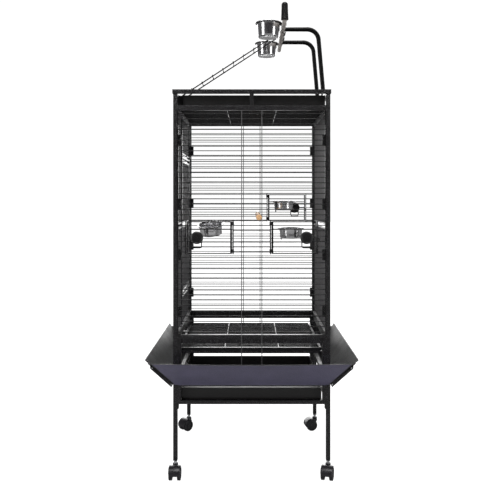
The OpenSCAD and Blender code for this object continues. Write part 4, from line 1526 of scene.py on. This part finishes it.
    def _wheel(self, side: float, axle: Vector) -> bmesh.types.BMesh:
        """Return one wheel with round shoulders, a tread groove and ribs in its dish.

        Args:
            side: 1 for the wheel on local +X, -1 for the other.
            axle: The axle's middle.

        Returns:
            The wheel, in the caster's frame.
        """
        r, w = self.wheel_r, self.wheel_w
        profile = [(self.axle_r, 0.0), (r - 2.4 * MM, 0.0)]
        profile += arc((r - 2.4 * MM, 2.4 * MM), 2.4 * MM, -75.0, 0.0, 5)
        profile += [(r, w / 2 - 0.8 * MM), (r - 0.8 * MM, w / 2 - 0.2 * MM), (r - 0.8 * MM, w / 2 + 0.2 * MM)]
        profile += [(r, w / 2 + 0.8 * MM)]
        profile += arc((r - 2.4 * MM, w - 2.4 * MM), 2.4 * MM, 0.0, 90.0, 5)
        profile += [(r - 5.2 * MM, w), (r - 6.4 * MM, w - 0.9 * MM), (r - 7.0 * MM, w - 2.6 * MM)]
        profile += [(8.6 * MM, w - 2.6 * MM), (7.6 * MM, w - 0.8 * MM), (6.8 * MM, w - 0.1 * MM), (2.6 * MM, w)]
        profile += [(0.0, w - 0.6 * MM)]
        disc = lathe([(0.0, 0.0), *profile], 72)
        ribs = []
        for k in range(self.ribs):
            bar = bmesh.new()
            bmesh.ops.create_cube(bar, size=1.0)
            size = Matrix.Diagonal((10.6 * MM, 1.6 * MM, 1.4 * MM, 1.0))
            moved(bar, Matrix.Rotation(2 * math.pi * k / self.ribs, 4, "Z")
                  @ Matrix.Translation((12.6 * MM, 0.0, w - 2.4 * MM)) @ size)
            ribs.append(bar)
        facing = Matrix(((0.0, 0.0, side, side * self.gap / 2), (1.0, 0.0, 0.0, axle.y), (0.0, side, 0.0, axle.z),
                         (0.0, 0.0, 0.0, 1.0)))
        return moved(merged([disc, *ribs]), facing)

    def _axle(self, axle: Vector) -> bmesh.types.BMesh:
        """Return the axle between the wheels."""
        rod = lathe([(0.0, -self.gap / 2 - MM), (self.axle_r, -self.gap / 2 - MM), (self.axle_r, self.gap / 2 + MM),
                     (0.0, self.gap / 2 + MM)], 24)
        return moved(rod, Matrix.Translation(axle) @ Matrix.Rotation(math.pi / 2, 4, "Y"))


@dataclass
class Perch:
    """Turned perch along Y with eased ends and a slightly uneven surface."""

    bench: Bench
    node: str
    finish: Finish
    chamfer: float = 1.2 * MM
    waver: float = 0.25 * MM
    rings: int = 60

    def build(self) -> None:
        """Turn the perch between the CAD node's ends."""
        low, high = (Vector(corner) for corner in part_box(self.node))
        radius = (high.z - low.z) / 2
        length = high.y - low.y
        profile = [(0.0, 0.0), (radius - self.chamfer, 0.0)]
        for i in range(self.rings + 1):
            at = self.chamfer + (length - 2 * self.chamfer) * i / self.rings
            profile.append((radius - self.waver * (0.5 + 0.5 * math.sin(9.0 * at / length * math.pi + 0.6)), at))
        profile += [(radius - self.chamfer, length), (0.0, length)]
        work = lathe(profile, 48)
        place = Matrix.Translation(((low.x + high.x) / 2, low.y, (low.z + high.z) / 2))
        moved(work, place @ Matrix.Rotation(-math.pi / 2, 4, "X"))
        made = self.bench.piece(self.node + "_turned", work, self.finish, 40.0)
        self.bench.fit(made, "cage", self.bench.slot_of[self.node], self.node)


@dataclass
class Playtop:
    """Grip, cap nuts and toy hook of the play stand."""

    bench: Bench
    scatter: Scatter
    hook_wire: float = 1.3 * MM
    hook_out: float = 6.0 * MM
    hook_clear: float = 14.0 * MM
    hook_eye: float = 10.0 * MM
    hook_bend: float = 6.0 * MM
    arm_y: float = 112.0 * MM
    foot_drop: float = 8.0 * MM
    ring_x: float = 24.0 * MM
    ring_y: float = 8.0 * MM
    grip_rings: int = 9
    grip_pitch: float = 5.0 * MM
    grip_top: float = 12.6 * MM
    grip_run: float = 47.0 * MM

    def build(self) -> None:
        """Make the playtop's small parts."""
        self._grip()
        self._cap_nuts()
        self._toy_hook()

    def _grip(self) -> None:
        """Make the moulded grip with its embossed rings."""
        low, high = (Vector(corner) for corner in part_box("perch_grip"))
        base, height, top = (high.x - low.x) / 2, high.z - low.z, self.grip_top
        foot, step = 8.0 * MM, 0.6 * MM
        profile = [(0.0, 0.0), (base - 0.8 * MM, 0.0), (base, 0.8 * MM), (base, 7.0 * MM), (base - step, foot)]
        for k in range(self.grip_rings):
            up = foot + MM + k * self.grip_pitch
            size = base - step - (base - top) * (up - foot) / self.grip_run
            profile += [(size, up), (size + 0.45 * MM, up + 0.9 * MM), (size + 0.45 * MM, up + 2.0 * MM),
                        (size - 0.1 * MM, up + 2.9 * MM)]
        profile += [(top, height - 13 * MM), (top - 0.7 * MM, height - 8 * MM), (top - 2.6 * MM, height - 4.2 * MM),
                    (6.6 * MM, height - 1.5 * MM), (3.2 * MM, height - 0.3 * MM), (0.0, height)]
        work = lathe(profile, 64)
        moved(work, Matrix.Translation(((low.x + high.x) / 2, (low.y + high.y) / 2, low.z)))
        made = self.bench.piece("perch_grip_moulded", work, Finish.GRIP, 38.0)
        self.bench.fit(made, "cage", "grip_plastic", "perch_grip")

    def _cap_nuts(self) -> None:
        """Put cap nuts on the top rail at the arms' feet and beside each arm's end."""
        rails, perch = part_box("top_rails"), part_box("top_perch")
        middle_x, middle_z = (perch[0][0] + perch[1][0]) / 2, (perch[0][2] + perch[1][2]) / 2
        spots = []
        for side in (-1.0, 1.0):
            foot = (rails[1][0], side * self.arm_y, rails[1][2] - self.foot_drop)
            end = (middle_x + self.ring_x, side * (self.arm_y - self.ring_y), middle_z)
            spots += [(foot, (1.0, 0.0, 0.0)), (end, (0.0, -side, 0.0))]
        made = self.scatter.put("arm_nuts", Hardware.acorn(5.2 * MM, 5.0 * MM), spots, Finish.WIRE)
        self.bench.fit(made, "cage", "frame_coat")

    def _toy_hook(self) -> None:
        """Hang a small open wire hook beside the near arm."""
        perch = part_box("top_perch")
        x, y = perch[1][0] + self.hook_out, -self.arm_y - self.hook_clear
        top = (perch[0][2] + perch[1][2]) / 2
        line = [(x - 14.0 * MM, top + 9.9 * MM)]
        line += arc((x - 15.0 * MM, top), self.hook_eye, 80.0, 5.0, 6)
        line += [(x - 5.0 * MM, top - 6.0 * MM), (x - 4.6 * MM, top - 15.0 * MM)]
        line += arc((x - 4.6 * MM - self.hook_bend, top - 15.0 * MM), self.hook_bend, -20.0, -200.0, 13)
        path = [Vector((across, y, up)) for across, up in line]
        made = self.bench.piece("toy_hook", sweep(path, self.hook_wire, 10), Finish.WIRE, 60.0)
        self.bench.fit(made, "cage", "wire_coat")


def main() -> None:
    """Build the looks in order."""
    logging.basicConfig(level=logging.INFO, format="%(message)s")
    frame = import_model()
    bench = Bench(frame, Palette())
    scatter = Scatter(bench)
    Studio().build()
    WireWork(bench).build()
    Tubing(bench).build()
    Skirt(bench, scatter).build()
    Bolts(bench, scatter).build()
    for node, body, joint in (
        ("feeder_bowl_left", "bowl_left", "bowl_left_lift"), ("feeder_bowl_right", "bowl_right", "bowl_right_lift"),
        ("feeder_bowl_back", "bowl_back", "bowl_back_lift"), ("top_bowl_front", "top_bowl_near", "top_bowl_near_lift"),
        ("top_bowl_back", "top_bowl_far", "top_bowl_far_lift"),
    ):
        Bowl(bench, node, body, joint).build()
    left, right, front, back = Vector((-1, 0, 0)), Vector((1, 0, 0)), Vector((0, -1, 0)), Vector((0, 1, 0))
    for node, body, joint, out, along in (
        ("feeder_latch_left", "latch_left", "latch_left_turn", front, left),
        ("feeder_latch_right", "latch_right", "latch_right_turn", front, right),
        ("feeder_latch_back", "latch_back", "latch_back_turn", back, right),
        ("main_latch", "front_door_latch", "main_latch_turn", left, front),
    ):
        Latch(bench, node, body, joint, out, along).build()
    for corner in ("fl", "fr", "bl", "br"):
        Caster(bench, corner).build()
    Perch(bench, "top_perch", Finish.PERCH).build()
    Perch(bench, "inner_perch", Finish.TAN).build()
    Playtop(bench, scatter).build()


if __name__ == "__main__":
    main()
